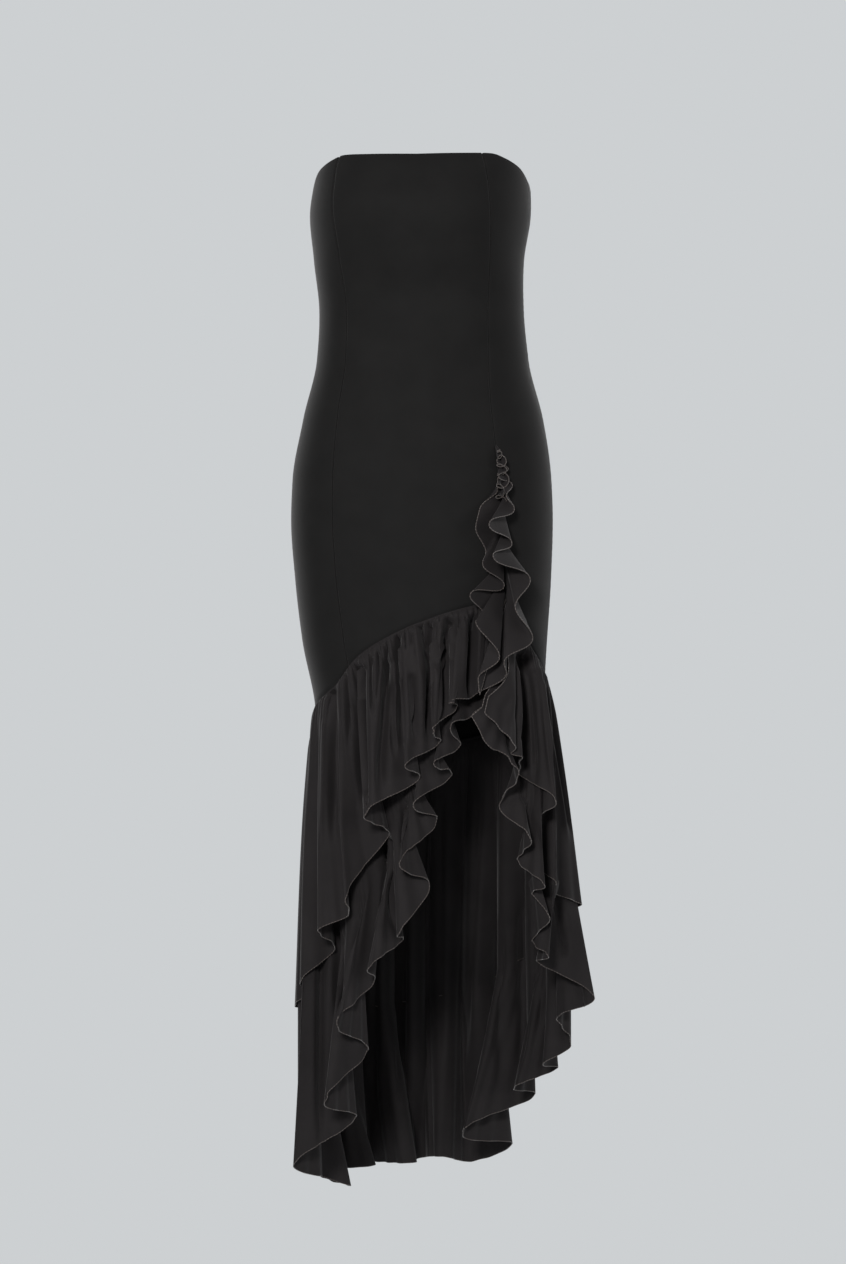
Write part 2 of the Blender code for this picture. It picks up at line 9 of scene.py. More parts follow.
import json
import math

import bpy
import numpy as np
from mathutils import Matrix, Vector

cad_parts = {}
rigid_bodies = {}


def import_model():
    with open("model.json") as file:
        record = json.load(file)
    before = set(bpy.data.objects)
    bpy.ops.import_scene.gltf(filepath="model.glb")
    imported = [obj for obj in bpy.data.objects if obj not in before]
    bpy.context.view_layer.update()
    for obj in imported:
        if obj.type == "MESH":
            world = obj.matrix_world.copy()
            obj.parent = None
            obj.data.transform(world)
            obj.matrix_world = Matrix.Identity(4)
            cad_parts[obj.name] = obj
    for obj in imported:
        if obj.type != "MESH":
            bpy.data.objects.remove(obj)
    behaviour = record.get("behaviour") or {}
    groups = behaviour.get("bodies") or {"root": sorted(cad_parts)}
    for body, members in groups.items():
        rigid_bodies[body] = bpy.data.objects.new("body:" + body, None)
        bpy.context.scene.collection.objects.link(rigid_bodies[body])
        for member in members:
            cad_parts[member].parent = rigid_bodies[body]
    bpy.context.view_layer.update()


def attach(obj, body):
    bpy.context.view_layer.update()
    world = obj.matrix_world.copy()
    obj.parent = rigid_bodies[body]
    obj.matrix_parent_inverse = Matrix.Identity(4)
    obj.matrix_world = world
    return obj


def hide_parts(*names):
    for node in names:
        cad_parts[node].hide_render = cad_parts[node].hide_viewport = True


MM = 0.001

# The fold tables give what the front view shows: side and drop at the dress's middle plane, seen
# from this far in front, from this far below the top edge, and from this far to the wearer's left
VIEW_DISTANCE = 3.5
VIEW_DROP = 0.590
VIEW_TURN = math.radians(4.0)

# The sheath's cross-sections in millimetres: how far below the origin, half width, depth before and
# behind the middle, shift to the side, squareness of the oval, and where the princess seams run on
# the front's right and left and on the back, as shares of the half width
SECTION_COLUMNS = (
    "drop", "half", "front", "back", "shift", "square", "right_seam", "left_seam", "back_seam"
)
SECTIONS = (
    (-20, 127, 92, 84, -1, 2.45, 0.74, 0.60, 0.56),
    (20, 136, 108, 89, -1, 2.45, 0.755, 0.63, 0.56),
    (60, 139.5, 117, 92, -3, 2.40, 0.74, 0.665, 0.55),
    (118, 133, 106, 88, -5, 2.30, 0.71, 0.71, 0.53),
    (180, 129.5, 90, 78, -2, 2.20, 0.69, 0.68, 0.50),
    (245, 134, 90, 84, -0.5, 2.20, 0.68, 0.65, 0.50),
    (321, 152, 97, 104, 0, 2.25, 0.665, 0.60, 0.50),
    (397, 164, 102, 117, -1.5, 2.25, 0.64, 0.62, 0.50),
    (448, 165.8, 103, 121, -1.5, 2.25, 0.635, 0.64, 0.50),
    (524, 162, 103, 117, 0, 2.25, 0.63, 0.66, 0.50),
    (600, 155, 101, 110, 2, 2.25, 0.61, 0.69, 0.50),
    (692, 144, 97, 104, 8, 2.20, 0.60, 0.69, 0.50),
    (780, 141, 95, 102, 8, 2.20, 0.60, 0.69, 0.50),
)

# A soft fullness over each bust point, worked in by the princess seams
BUST_SIDE = 0.066
BUST_DROP = 0.078
BUST_SPREAD = 0.048
BUST_FULLNESS = 0.006

# The top edge in millimetres: it rises a little over each bust point, dips at the sides and runs
# lower across the back
TOP_COLUMNS = ("angle", "drop")
TOP_EDGE = (
    (0, 0),
    (22, -1.5),
    (40, -3),
    (52, 2),
    (60, 6.5),
    (67, 11),
    (73, 17),
    (80, 24),
    (90, 28),
    (110, 30),
    (145, 29),
    (180, 28),
)

# The slanted seam where the tiers are sewn on, from the cascade round by the wearer's right
SEAM_COLUMNS = ("angle", "drop")
SEAM = (
    (39, 550),
    (22, 559),
    (8, 570),
    (-7, 590),
    (-28, 621),
    (-49, 660),
    (-90, 692),
    (-135, 722),
    (-180, 738),
    (-225, 712),
    (-270, 652),
    (-297, 614),
    (-321, 552),
)
SLIT_ANGLE = 39
LAP = 360

# Where each fold of a hem turns, as the front view shows it in millimetres, with the angle on the
# seam that the fold falls from. The folds swing out and in by turns.
TURN_COLUMNS = ("angle", "side", "drop", "depth")
UPPER_TURNS = (
    (36.0, 88, 655, -98),
    (24.0, 65, 671, -114),
    (12.7, 34, 678, -144),
    (11.0, 43, 685, -120),
    (4.0, 11, 716, -150),
    (2.5, 20, 730, -124),
    (-7.0, -23, 761, -150),
    (-8.5, -4, 773, -123),
    (-27.6, -75, 822, -142),
    (-30.0, -44, 847, -98),
    (-38.0, -71, 882, -92),
    (-46.0, -99, 934, -112),
    (-48.5, -94, 948, -94),
    (-58.0, -133, 968, -88),
    (-61.5, -112, 992, -44),
    (-75.0, -157, 1033, -40),
    (-82.0, -142, 1044, 4),
    (-95.0, -164, 1065, 42),
    (-101.0, -142, 1068, 74),
    (-112.0, -152, 1072, 124),
    (-118.0, -122, 1072, 140),
    (-128.0, -124, 1072, 190),
    (-134.0, -88, 1070, 186),
    (-144.0, -84, 1066, 232),
    (-150.0, -52, 1064, 208),
    (-161.0, -36, 1060, 250),
    (-167.0, -12, 1058, 216),
    (-178.0, 4, 1054, 254),
    (-184.0, 28, 1050, 216),
    (-195.0, 48, 1044, 246),
    (-201.0, 66, 1036, 204),
    (-212.0, 96, 1024, 226),
    (-218.0, 104, 1012, 182),
    (-229.0, 138, 998, 194),
    (-235.0, 138, 986, 146),
    (-245.0, 172, 972, 144),
    (-251.0, 160, 962, 98),
    (-260.0, 192, 950, 84),
    (-265.5, 176, 944, 44),
    (-272.0, 201, 937, 12),
    (-277.5, 166, 918, -34),
    (-281.0, 170, 908, -62),
    (-284.5, 147, 890, -48),
    (-287.5, 141, 861, -60),
    (-290.5, 143, 829, -76),
    (-294.5, 169, 805, -104),
    (-310.0, 126, 772, -84),
    (-315.0, 125, 748, -122),
    (-319.0, 79, 692, -146),
)
LOWER_TURNS = (
    (36.0, 84, 676, -92),
    (24.0, 61, 697, -106),
    (12.7, 33, 710, -136),
    (11.0, 47, 734, -110),
    (4.0, 14, 758, -138),
    (2.5, 37, 770, -104),
    (-7.0, -13, 812, -130),
    (-8.5, 17, 828, -98),
    (-14.0, -29, 887, -134),
    (-18.0, 8, 910, -104),
    (-23.0, -32, 975, -120),
    (-27.6, -25, 980, -90),
    (-34.0, -69, 1017, -118),
    (-38.0, -61, 1033, -80),
    (-46.0, -110, 1087, -105),
    (-48.5, -71, 1120, -55),
    (-58.0, -126, 1186, -80),
    (-61.5, -86, 1206, -25),
    (-75.0, -164, 1267, -20),
    (-82.0, -128, 1281, 30),
    (-95.0, -160, 1270, 74),
    (-104.0, -92, 1293, 100),
    (-116.0, -130, 1276, 160),
    (-126.0, -66, 1268, 150),
    (-142.0, -72, 1262, 236),
    (-153.0, -16, 1264, 196),
    (-168.0, -4, 1258, 262),
    (-185.0, 24, 1256, 212),
    (-197.0, 60, 1262, 252),
    (-210.0, 114, 1240, 214),
    (-219.0, 50, 1226, 160),
    (-235.0, 142, 1178, 176),
    (-242.0, 116, 1168, 118),
    (-248.0, 170, 1144, 118),
    (-254.0, 152, 1138, 74),
    (-260.0, 188, 1116, 72),
    (-265.5, 172, 1078, 36),
    (-272.0, 217, 1056, 10),
    (-277.5, 146, 1008, -10),
    (-281.0, 158, 1000, -46),
    (-284.5, 141, 986, -32),
    (-287.5, 160, 950, -70),
    (-290.5, 140, 921, -68),
    (-294.5, 154, 912, -94),
    (-299.0, 122, 882, -72),
    (-304.0, 137, 852, -108),
    (-310.0, 97, 812, -86),
    (-315.0, 121, 768, -120),
    (-317.0, 93, 740, -130),
    (-319.0, 62, 697, -142),
)

# The flounces fall from the left princess seam: here the first column is how far along that line,
# from the tiers' seam at 0 to the top of the cascade at 1
CASCADE_TOP_DROP = 0.366
CASCADE_COLUMNS = ("along", "side", "drop", "depth")
RIGHT_FLOUNCE_TURNS = (
    (0.00, 72, 670, -148),
    (0.03, 70, 650, -148),
    (0.07, 97, 624, -138),
    (0.14, 67, 577, -138),
    (0.19, 77, 567, -116),
    (0.25, 60, 542, -134),
    (0.34, 103, 532, -106),
    (0.44, 76, 505, -126),
    (0.52, 80, 488, -110),
    (0.62, 67, 458, -122),
    (0.71, 72, 434, -112),
    (0.82, 94, 413, -100),
)
LEFT_FLOUNCE_TURNS = (
    (0.00, 70, 667, -136),
    (0.04, 106, 643, -134),
    (0.07, 103, 628, -142),
    (0.13, 139, 600, -120),
    (0.24, 117, 557, -142),
    (0.35, 136, 522, -120),
    (0.48, 89, 494, -148),
    (0.56, 113, 477, -118),
    (0.66, 84, 454, -144),
    (0.75, 116, 433, -108),
    (0.80, 106, 418, -116),
    (0.85, 113, 402, -98),
    (0.89, 96, 393, -112),
    (0.93, 108, 382, -96),
    (0.97, 94, 374, -103),
    (1.00, 98, 366, -95),
)

# Creases that the front view shows on the tiers, in millimetres: where one starts and ends, how
# wide it is and how deep it is pressed in. A ridge has a depth below 0.
CREASE_COLUMNS = ("side", "drop", "low_side", "low_drop", "width", "depth")
UPPER_CREASES = (
    (65, 564, 60, 680, 5.0, 20),
    (33, 567, 28, 712, 6.2, 20),
    (-5, 574, 7, 640, 3.4, 16),
    (9, 572, 8, 742, 4.8, 22),
    (18, 574, 19, 648, 3.0, 10),
    (-33, 590, -25, 745, 4.8, 21),
    (-46, 602, -47, 672, 3.0, 10),
    (-45, 620, -53, 806, 6.5, 18),
    (-66, 618, -65, 700, 3.0, 10),
    (-81, 628, -74, 824, 7.2, 26),
    (-98, 642, -94, 735, 3.0, 9),
    (-117, 656, -113, 870, 5.5, 15),
    (-126, 700, -130, 880, 3.0, -3),
    (-15, 584, -14, 612, 1.9, 3.5),
    (-72, 624, -70, 650, 1.8, 3.5),
    (-57, 612, -60, 690, 3.0, 9),
    (-23, 588, -22, 614, 1.8, 3.5),
    (41, 566, 42, 600, 1.8, 4),
    (48, 564, 46, 588, 1.8, 3.5),
    (54, 563, 54, 580, 1.8, 3),
    (-13, 640, -5, 745, 4.6, 10),
    (-39, 650, -37, 755, 3.8, 8),
    (127, 612, 127, 785, 6.4, 25),
    (145, 632, 166, 802, 2.6, -3),
    (150, 650, 188, 872, 2.6, -3.5),
    (158, 660, 194, 866, 3.6, 10),
    (137, 636, 144, 795, 4.6, 9),
    (145, 822, 146, 888, 3.4, 8),
)
LOWER_CREASES = (
    (-129, 982, -131, 1270, 5.0, 14),
    (-107, 962, -108, 1090, 5.0, 12),
    (-45, 850, -36, 980, 4.4, 13),
    (-23, 800, -19, 880, 4.6, 11),
    (-90, 930, -94, 1110, 6.0, -4),
    (-55, 880, -58, 990, 5.0, -4),
    (128, 800, 130, 870, 5.0, -3),
    (138, 900, 132, 1020, 4.6, 12),
    (166, 900, 190, 1060, 5.0, 9),
)
# Folds of the back of the skirt, seen from inside through the front opening
INSIDE_CREASES = (
    (22, 800, 22, 1200, 6.0, 5),
    (74, 800, 48, 1190, 5.0, 6),
    (98, 960, 98, 1180, 7.0, 7),
    (126, 940, 126, 1170, 6.0, 7),
    (148, 960, 150, 1110, 6.0, 6),
    (-22, 860, -30, 1230, 6.0, 6),
    (-60, 900, -64, 1240, 6.0, 6),
)
# A crease fades in over this length and out over this share of its own, where the cloth faces the
# viewer by less than this share, and pushes up a little cloth on both sides
CREASE_TOP = 9 * MM
CREASE_LOW_SHARE = 0.35
CREASE_FACING = 0.4
SHOULDER = 0.12
SHOULDER_SPREAD = 2.3

# The small curls of the cascade's top end, in the front view in millimetres: the middle of each and
# its half sizes
CURL_COLUMNS = ("side", "drop", "across", "down")
CURLS = (
    (96, 358, 1.5, 1.5),
    (97, 364, 3.2, 3.0),
    (101, 373, 4.6, 4.8),
    (99, 384, 7.4, 3.0),
    (103, 397, 6.0, 6.2),
    (97, 412, 6.5, 5.5),
    (101, 424, 5.0, 3.0),
)
# How far out from the sheath they stand, how far they sway, how often, and their points in one turn
CURL_REACH = 13 * MM
CURL_SWAY = 2 * MM
CURL_SWAYS_A_TURN = 1.5
CURL_POINTS = 40
# How far out from the seam each row of the curled cloth stands, as a share of its reach
CURL_STRIP = (0.08, 0.54, 1.0)

# The hem's turns are this round: the length of a turn's handle as a share of the swing
TURN_ROUNDNESS = 0.27
# How squarely the hem rounds the tip of a fold: 1 is at right angles to it
TURN_SQUARENESS = 0.85
# A fold opens as this power of the way down, so that it is well open soon below the seam
FOLD_GROWTH = 0.9
# The cloth puffs out by this much below the gathers
TIER_PUFF = 6.0 * MM
# The tiers' top edges beside each other under the sheath's edge, and the slack between them
UPPER_TOP_OFFSET = 1.7 * MM
TIER_SPACING = 2.3 * MM
TIER_SLACK = 2.0 * MM
# In front the lower tier hangs behind the upper one's folds: where that ends on either side, and
# over how many degrees it gives way
FRONT_END_RIGHT = 56
FRONT_END_LEFT = 56
FRONT_FADE = 18
BEHIND_SLACK = 7.0 * MM
BEHIND_DROP = 14.0 * MM
# Beside the slit's left edge it hangs closer: how close, how much higher its folds start, and over
# how many degrees
CLOSE_SHARE = 0.3
CLOSE_RISE = 6 * MM
CLOSE_WIDTH = 9.0
# The puff and the gathers fade out over this many degrees beside the slit
FLAT_BY_SLIT = 9.0
# On the slit's left the free edges swing outwards before they turn in to their hems: how far, over
# how many degrees, and how late on the way down
UPPER_SWEEP = 17 * MM
LOWER_SWEEP = 11 * MM
SWEEP_WIDTH = 7.0
SWEEP_LATENESS = 2.3
SWEEP_END = 0.85
# The gathers: how far every other column stands out, and how far down they fade
GATHER_DEPTH = 1.1 * MM
GATHER_FADE = 55 * MM
# Half the space between the two flounces where they are sewn on
FLOUNCE_SPACING = 2.2 * MM
# How far the right flounce laps over the left one at their low end
FLOUNCE_LAP = 3.0 * MM
# The tiers are joined at the side seams and at the back, at these angles
TIER_ENDS = (-270.0, -180.0, -90.0)

# The cloth as it really is, thinner than its solids
CLOTH = 0.6 * MM
CLOTH_SHEATH = 0.8 * MM
SHEATH_WALL = 1.5 * MM
RUFFLE_WALL = 1.2 * MM
PIECE_GAP = 0.3 * MM

# The fine grids
SHEATH_STEP = 4.0 * MM
SEAM_STEP = 1.5 * MM
HEM_STEP = 3.2 * MM
UPPER_ROWS = 40
UPPER_ROW_GROWTH = 1.25
LOWER_ROWS_UNDER = 16
LOWER_ROWS_BELOW = 28
FLOUNCE_ROWS = 12
FLOUNCE_STEP = 1.2 * MM
TIER_POINTS = 12001
FLOUNCE_POINTS = 6001
# A panel's columns crowd this near to its seams, in millimetres, and the even ones keep clear of them
EDGE_COLUMNS = (0.3, 0.7, 1.2, 1.8, 2.6)
EDGE_CLEARANCE = 1.3
LEAST_COLUMNS = 8
WIDTH_POINTS = 50
WIDEST_DROP = 0.4
PANEL_LENGTH = 0.62
LOW_EDGE_GUESS = 0.65
LOW_EDGE_PASSES = 30

# The gathers below the tiers' seam: how wide one is, how far it stands out and how far down it runs
GATHER_WIDTH = 6.4 * MM
GATHER_HEIGHT = 3.2 * MM
GATHER_REACH = 50 * MM
# Their height at the seam, and how soon they have all of it
GATHER_AT_SEAM = 0.6
GATHER_RISE = 6 * MM
# Longer and softer folds that the gathers run into
FOLD_WIDTH = 21 * MM
FOLD_HEIGHT = 3.6 * MM
FOLD_REACH = 170 * MM
FOLD_START = 45 * MM
FOLD_SHARPNESS = 2.0
FOLD_MEAN = 0.3
UPPER_GATHERS = {"seed": 11, "strength": 1.0, "sharpness": 0.8}
LOWER_GATHERS = {"seed": 29, "strength": 0.5, "sharpness": 1.8}
# A tier that is shorter than this has lower folds, but no lower than this share
SHORT_TIER = 0.12
SHORT_SHARE = 0.3
# Small flutes of the hems
FLUTE_WIDTH = 30 * MM
FLUTE_HEIGHT = 1.6 * MM
FLUTE_WANDER = 2.5
FLUTE_WANDER_RATE = 31
FLUTE_GROWTH = 4
FLUTE_LEAST_LENGTH = 0.04
# The top edge of the sheath is turned in: how far down and how far out each row lies, in millimetres
ROLL_COLUMNS = ("drop", "out")
TOP_ROLL = ((7, -1.6), (2, -1.6), (0.5, -1.5), (0.05, -0.9), (0.05, -0.3))
# The edges of its panels are turned in at the seams, and pucker beside them
SEAM_GROOVE = 1.9 * MM
SEAM_GROOVE_WIDTH = 1.0 * MM
PUCKER_HEIGHT = 0.16 * MM
PUCKER_WIDTH = 9 * MM
PUCKER_REACH = 8 * MM
PUCKER_WANDER = 4
PUCKER_WANDER_RATE = 41
# The tiers' top edges are tucked in behind the sheath's lower edge: how far above the seam each row
# lies, with its share of the way in
TUCK_ROWS = ((5 * MM, 1.0), (2.5 * MM, 1.0), (-0.2 * MM, 0.45))
UPPER_TUCK = -1.4 * MM
LOWER_TUCK = -2.4 * MM
# The gathers grow over this many degrees from the cascade, from this share
CALM_BY_CASCADE = 38
CALM_SHARE = 0.15
# More room for the lower tier's finer folds inside the upper tier, and how soon it has all of it
NESTED_ROOM = 2.6 * MM
NESTED_RISE = 4
# The seam allowances that stand up inside the tiers
ALLOWANCE = 6 * MM
# The rolled hems
HEM_RADIUS = 0.52 * MM
HEM_SIDES = 7
HEM_POINT_STEP = 1.6 * MM
# Edges sharper than this, in degrees, aren't shaded as round
SHARP_ANGLE = 60


def column(rows, names, name):
    return np.array([row[names.index(name)] for row in rows], float)


def smooth(x, knots, values):
    """Reads a curve that passes smoothly through the knots, without overshooting them."""
    x = np.asarray(x, float)
    order = np.argsort(knots)
    knots, values = knots[order], values[order]
    steps = np.diff(knots)
    slopes = np.diff(values) / steps
    same_way = slopes[:-1] * slopes[1:] > 0
    middle = np.where(same_way, 2 * slopes[:-1] * slopes[1:] / (slopes[:-1] + slopes[1:] + 1e-30), 0)
    tangents = np.concatenate([slopes[:1], middle, slopes[-1:]])
    i = np.clip(np.searchsorted(knots, x) - 1, 0, len(steps) - 1)
    t = np.clip((x - knots[i]) / steps[i], 0, 1)
    h = steps[i]
    return (
        values[i] * (1 + 2 * t) * (1 - t) ** 2
        + tangents[i] * h * t * (1 - t) ** 2
        + values[i + 1] * t * t * (3 - 2 * t)
        - tangents[i + 1] * h * t * t * (1 - t)
    )


def section(drop, name):
    """A measure of the sheath's cross-section this far down, in metres or as a share."""
    size = MM if name in ("half", "front", "back", "shift") else 1
    knots = column(SECTIONS, SECTION_COLUMNS, "drop") * MM
    return smooth(drop, knots, column(SECTIONS, SECTION_COLUMNS, name)) * size


def body_point(angle, drop):
    """The point of the sheath's middle surface at an angle and a drop below the origin."""
    angle, drop = np.broadcast_arrays(np.radians(angle), np.asarray(drop, float))
    power = 2 / section(drop, "square")
    across = np.sign(np.sin(angle)) * np.abs(np.sin(angle)) ** power
    along = np.sign(np.cos(angle)) * np.abs(np.cos(angle)) ** power
    x = section(drop, "shift") + section(drop, "half") * across
    y = -np.where(along > 0, section(drop, "front"), section(drop, "back")) * along
    for side in (-BUST_SIDE, BUST_SIDE):
        away = ((x - side) ** 2 + (drop - BUST_DROP) ** 2) / BUST_SPREAD**2
        y = y - BUST_FULLNESS * np.exp(-away) * (along > 0)
    return np.stack([x, y, -drop], axis=-1)


def body_normal(angle, drop):
    step_angle, step_drop = 0.5, 0.002
    round_it = body_point(angle + step_angle, drop) - body_point(angle - step_angle, drop)
    down_it = body_point(angle, drop + step_drop) - body_point(angle, drop - step_drop)
    return unit(np.cross(down_it, round_it))


def unit(vectors):
    return vectors / np.maximum(np.linalg.norm(vectors, axis=-1, keepdims=True), 1e-12)


def seam_angle(drop, name):
    """The angle at which a princess seam runs this far down."""
    share = section(drop, name)
    return np.degrees(np.arcsin(share ** (section(drop, "square") / 2)))


def top_drop(angle):
    turned = np.abs(np.mod(np.asarray(angle, float) + LAP / 2, LAP) - LAP / 2)
    return smooth(turned, column(TOP_EDGE, TOP_COLUMNS, "angle"), column(TOP_EDGE, TOP_COLUMNS, "drop")) * MM


def tier_seam_drop(angle):
    """How far down the tiers' seam runs, for an angle from the slit round to the slit again."""
    angle = SLIT_ANGLE - np.mod(SLIT_ANGLE - np.asarray(angle, float), LAP)
    knots = column(SEAM, SEAM_COLUMNS, "angle")
    return smooth(angle, knots, column(SEAM, SEAM_COLUMNS, "drop")) * MM


def from_front_view(side, drop, depth):
    """Turns what the front view shows into a place in the dress's own frame."""
    near = 1 + depth / VIEW_DISTANCE
    across = side * near
    height = -VIEW_DROP + (VIEW_DROP - drop) * near
    x = across * math.cos(VIEW_TURN) - depth * math.sin(VIEW_TURN)
    y = across * math.sin(VIEW_TURN) + depth * math.cos(VIEW_TURN)
    return np.stack([x, y, height], axis=-1)


class Hem:
    """A hem that swings from turn to turn of a fold table, read by its first column."""

    def __init__(self, rows, names):
        self.keys = column(rows, names, names[0])
        self.turns = from_front_view(*(column(rows, names, name) * MM for name in names[1:]))
        self.swings = self.turns[1:] - self.turns[:-1]
        ahead = self.turns[2:] - self.turns[:-2]
        tips = unit(self.turns[1:-1] - (self.turns[2:] + self.turns[:-2]) / 2)
        across = ahead - tips * np.sum(ahead * tips, axis=1, keepdims=True) * TURN_SQUARENESS
        self.headings = unit(np.concatenate([self.swings[:1], across, self.swings[-1:]]))
        middle = (self.turns[:-1] + self.turns[1:]) / 2
        self.mean = np.concatenate([self.turns[:1], middle, self.turns[-1:]])
        self.mean_keys = np.concatenate(
            [self.keys[:1], (self.keys[:-1] + self.keys[1:]) / 2, self.keys[-1:]]
        )

    def place(self, key):
        """Which swing a key lies in, and how far along it."""
        way = np.sign(self.keys[-1] - self.keys[0])
        i = np.clip(np.searchsorted(self.keys * way, key * way) - 1, 0, len(self.keys) - 2)
        t = np.clip((key - self.keys[i]) / (self.keys[i + 1] - self.keys[i]), 0, 1)
        return i, t

    def point(self, key):
        """The hem itself, which rounds each turn."""
        i, t = self.place(key)
        t = t[..., None]
        start, end = self.turns[i], self.turns[i + 1]
        reach = np.linalg.norm(end - start, axis=-1, keepdims=True) * TURN_ROUNDNESS
        first, second = start + self.headings[i] * reach, end - self.headings[i + 1] * reach
        return (
            start * (1 - t) ** 3
            + 3 * first * t * (1 - t) ** 2
            + 3 * second * t * t * (1 - t)
            + end * t**3
        )

    def mean_point(self, key):
        """The hem with its folds smoothed away."""
        return np.stack([smooth(key, self.mean_keys, self.mean[:, k]) for k in range(3)], axis=-1)

    def fold_depth(self, key, outward):
        """Half of how far the folds swing in and out beside a key."""
        i, t = self.place(key)
        last = len(self.swings) - 1
        around = [self.swings[np.clip(i + k, 0, last)] for k in (-2, -1, 0, 1, 2)]
        deep = np.array([np.abs(np.sum(swing * outward, axis=-1)) for swing in around]) / 2
        return np.max(deep[:4], axis=0) * (1 - t) + np.max(deep[1:], axis=0) * t


UPPER_HEM = Hem(UPPER_TURNS, TURN_COLUMNS)
LOWER_HEM = Hem(LOWER_TURNS, TURN_COLUMNS)
RIGHT_FLOUNCE_HEM = Hem(RIGHT_FLOUNCE_TURNS, CASCADE_COLUMNS)
LEFT_FLOUNCE_HEM = Hem(LEFT_FLOUNCE_TURNS, CASCADE_COLUMNS)


def spanned(top, mean, folded, way_down, growth=FOLD_GROWTH):
    """A point part of the way down from a seam to a folded hem."""
    share = way_down[..., None]
    return top + (mean - top) * share + (folded - mean) * share**growth


def from_slit(angle):
    """Rises from 0 at either end of the tiers to 1 a little way round."""
    near = np.minimum(UPPER_HEM.keys[0] - angle, angle - UPPER_HEM.keys[-1])
    return np.clip(near / FLAT_BY_SLIT, 0, 1)


def swept(angle, way_down, reach):
    """How far the left tiers' free edge swings to the wearer's left on its way down."""
    near = np.clip(1 - (angle - UPPER_HEM.keys[-1]) / SWEEP_WIDTH, 0, 1) ** 2
    share = np.clip(way_down / SWEEP_END, 0, 1)
    swing = reach * near * np.sin(math.pi * share**SWEEP_LATENESS)
    return swing[..., None] * np.array([math.cos(VIEW_TURN), math.sin(VIEW_TURN), 0])


def upper_point(angle, way_down):
    """The upper tier without its gathers."""
    drop = tier_seam_drop(angle) + PIECE_GAP + SHEATH_WALL / 2
    outward = body_normal(angle, drop)
    top = body_point(angle, drop) + outward * UPPER_TOP_OFFSET
    hung = spanned(top, UPPER_HEM.mean_point(angle), UPPER_HEM.point(angle), way_down)
    puff = TIER_PUFF * np.sin(math.pi * np.clip(way_down, 0, 1) ** 0.7) * from_slit(angle)
    return hung + outward * puff[..., None] + swept(angle, way_down, UPPER_SWEEP)


def upper_normal(angle, way_down):
    step = 0.15
    round_it = upper_point(angle - step, way_down) - upper_point(angle + step, way_down)
    down_it = upper_point(angle, way_down + 0.01) - upper_point(angle, way_down - 0.01)
    return unit(np.cross(round_it, down_it))


def upper_length(angle):
    one = np.ones_like(angle)
    return np.linalg.norm(upper_point(angle, one) - upper_point(angle, one * 0), axis=-1)


def follows_upper(angle):
    """1 where the lower tier lies in the upper one's folds, and 0 in front, where it hangs behind them."""
    right = (-angle - FRONT_END_RIGHT) / FRONT_FADE
    left = (angle + LAP - FRONT_END_LEFT) / FRONT_FADE
    return np.clip(np.minimum(right, left), 0, 1)


def lower_point(angle, way_down):
    """The lower tier: close inside the upper one as far as its hem, then falling to its own hem.

    way_down goes from 0 at the seam to 1 at the upper hem, and to 2 at the lower hem.
    """
    under = np.clip(way_down, 0, 1)
    one = np.ones_like(under)
    spacing = TIER_SPACING + TIER_SLACK * np.sin(math.pi * under)
    spacing = spacing + GATHER_DEPTH * np.exp(-((under * upper_length(angle) / GATHER_FADE) ** 2))
    normal = upper_normal(angle, np.maximum(under, 0.02))
    nested = upper_point(angle, under) - normal * spacing[..., None]
    hem = LOWER_HEM.point(angle)
    drop = tier_seam_drop(angle) + PIECE_GAP + SHEATH_WALL / 2
    outward = body_normal(angle, drop)
    top = body_point(angle, drop) + outward * (UPPER_TOP_OFFSET - TIER_SPACING - GATHER_DEPTH)
    near_edge = 1 - np.clip((angle - UPPER_HEM.keys[-1]) / CLOSE_WIDTH, 0, 1) ** 2
    inset = UPPER_HEM.fold_depth(angle, outward) + BEHIND_SLACK
    inset = inset * (1 - (1 - CLOSE_SHARE) * near_edge)
    behind = UPPER_HEM.mean_point(angle) - outward * inset[..., None]
    behind[..., 2] += CLOSE_RISE * near_edge - BEHIND_DROP * (1 - near_edge)
    puff = TIER_PUFF * np.sin(math.pi * under**0.7) * from_slit(angle) * 0.7
    inner = top + (behind - top) * under[..., None] + outward * puff[..., None]
    inner = inner + swept(angle, under, LOWER_SWEEP)
    follow = (follows_upper(angle) * one)[..., None]
    start = nested * follow + inner * (1 - follow)
    return start + (hem - start) * np.clip(way_down - 1, 0, 1)[..., None]


def flounce_root(along, offset):
    """The line on the left princess seam that a flounce is sewn to, over the other at its low end."""
    cusp = tier_seam_drop(SLIT_ANGLE)
    drop = cusp + (CASCADE_TOP_DROP - cusp) * along
    angle = seam_angle(drop, "left_seam")
    outward = body_normal(angle, drop)
    clear = SHEATH_WALL / 2 + PIECE_GAP + RUFFLE_WALL / 2
    sideways = unit(np.cross(outward, np.array([0.0, 0.0, 1.0])))
    ahead = FLOUNCE_LAP * np.clip(1 - along / 0.12, 0, 1) * (offset < 0)
    return body_point(angle, drop) + outward * (clear + ahead)[..., None] - sideways * offset


def flounce_point(hem, along, way_down, offset):
    root = flounce_root(along, offset)
    return root + (hem.point(along) - root) * way_down[..., None]


def sheet_normals(grid):
    """The normals of a grid whose rows go down the cloth and whose columns go round the body."""
    return unit(np.cross(np.gradient(grid, axis=0), np.gradient(grid, axis=1)))


def along_rows(grid):
    """How far along its row each point of a grid lies."""
    steps = np.linalg.norm(np.diff(grid, axis=1), axis=-1)
    return np.concatenate([np.zeros((len(grid), 1)), np.cumsum(steps, axis=1)], axis=1)


def down_columns(grid):
    return along_rows(grid.transpose(1, 0, 2)).T


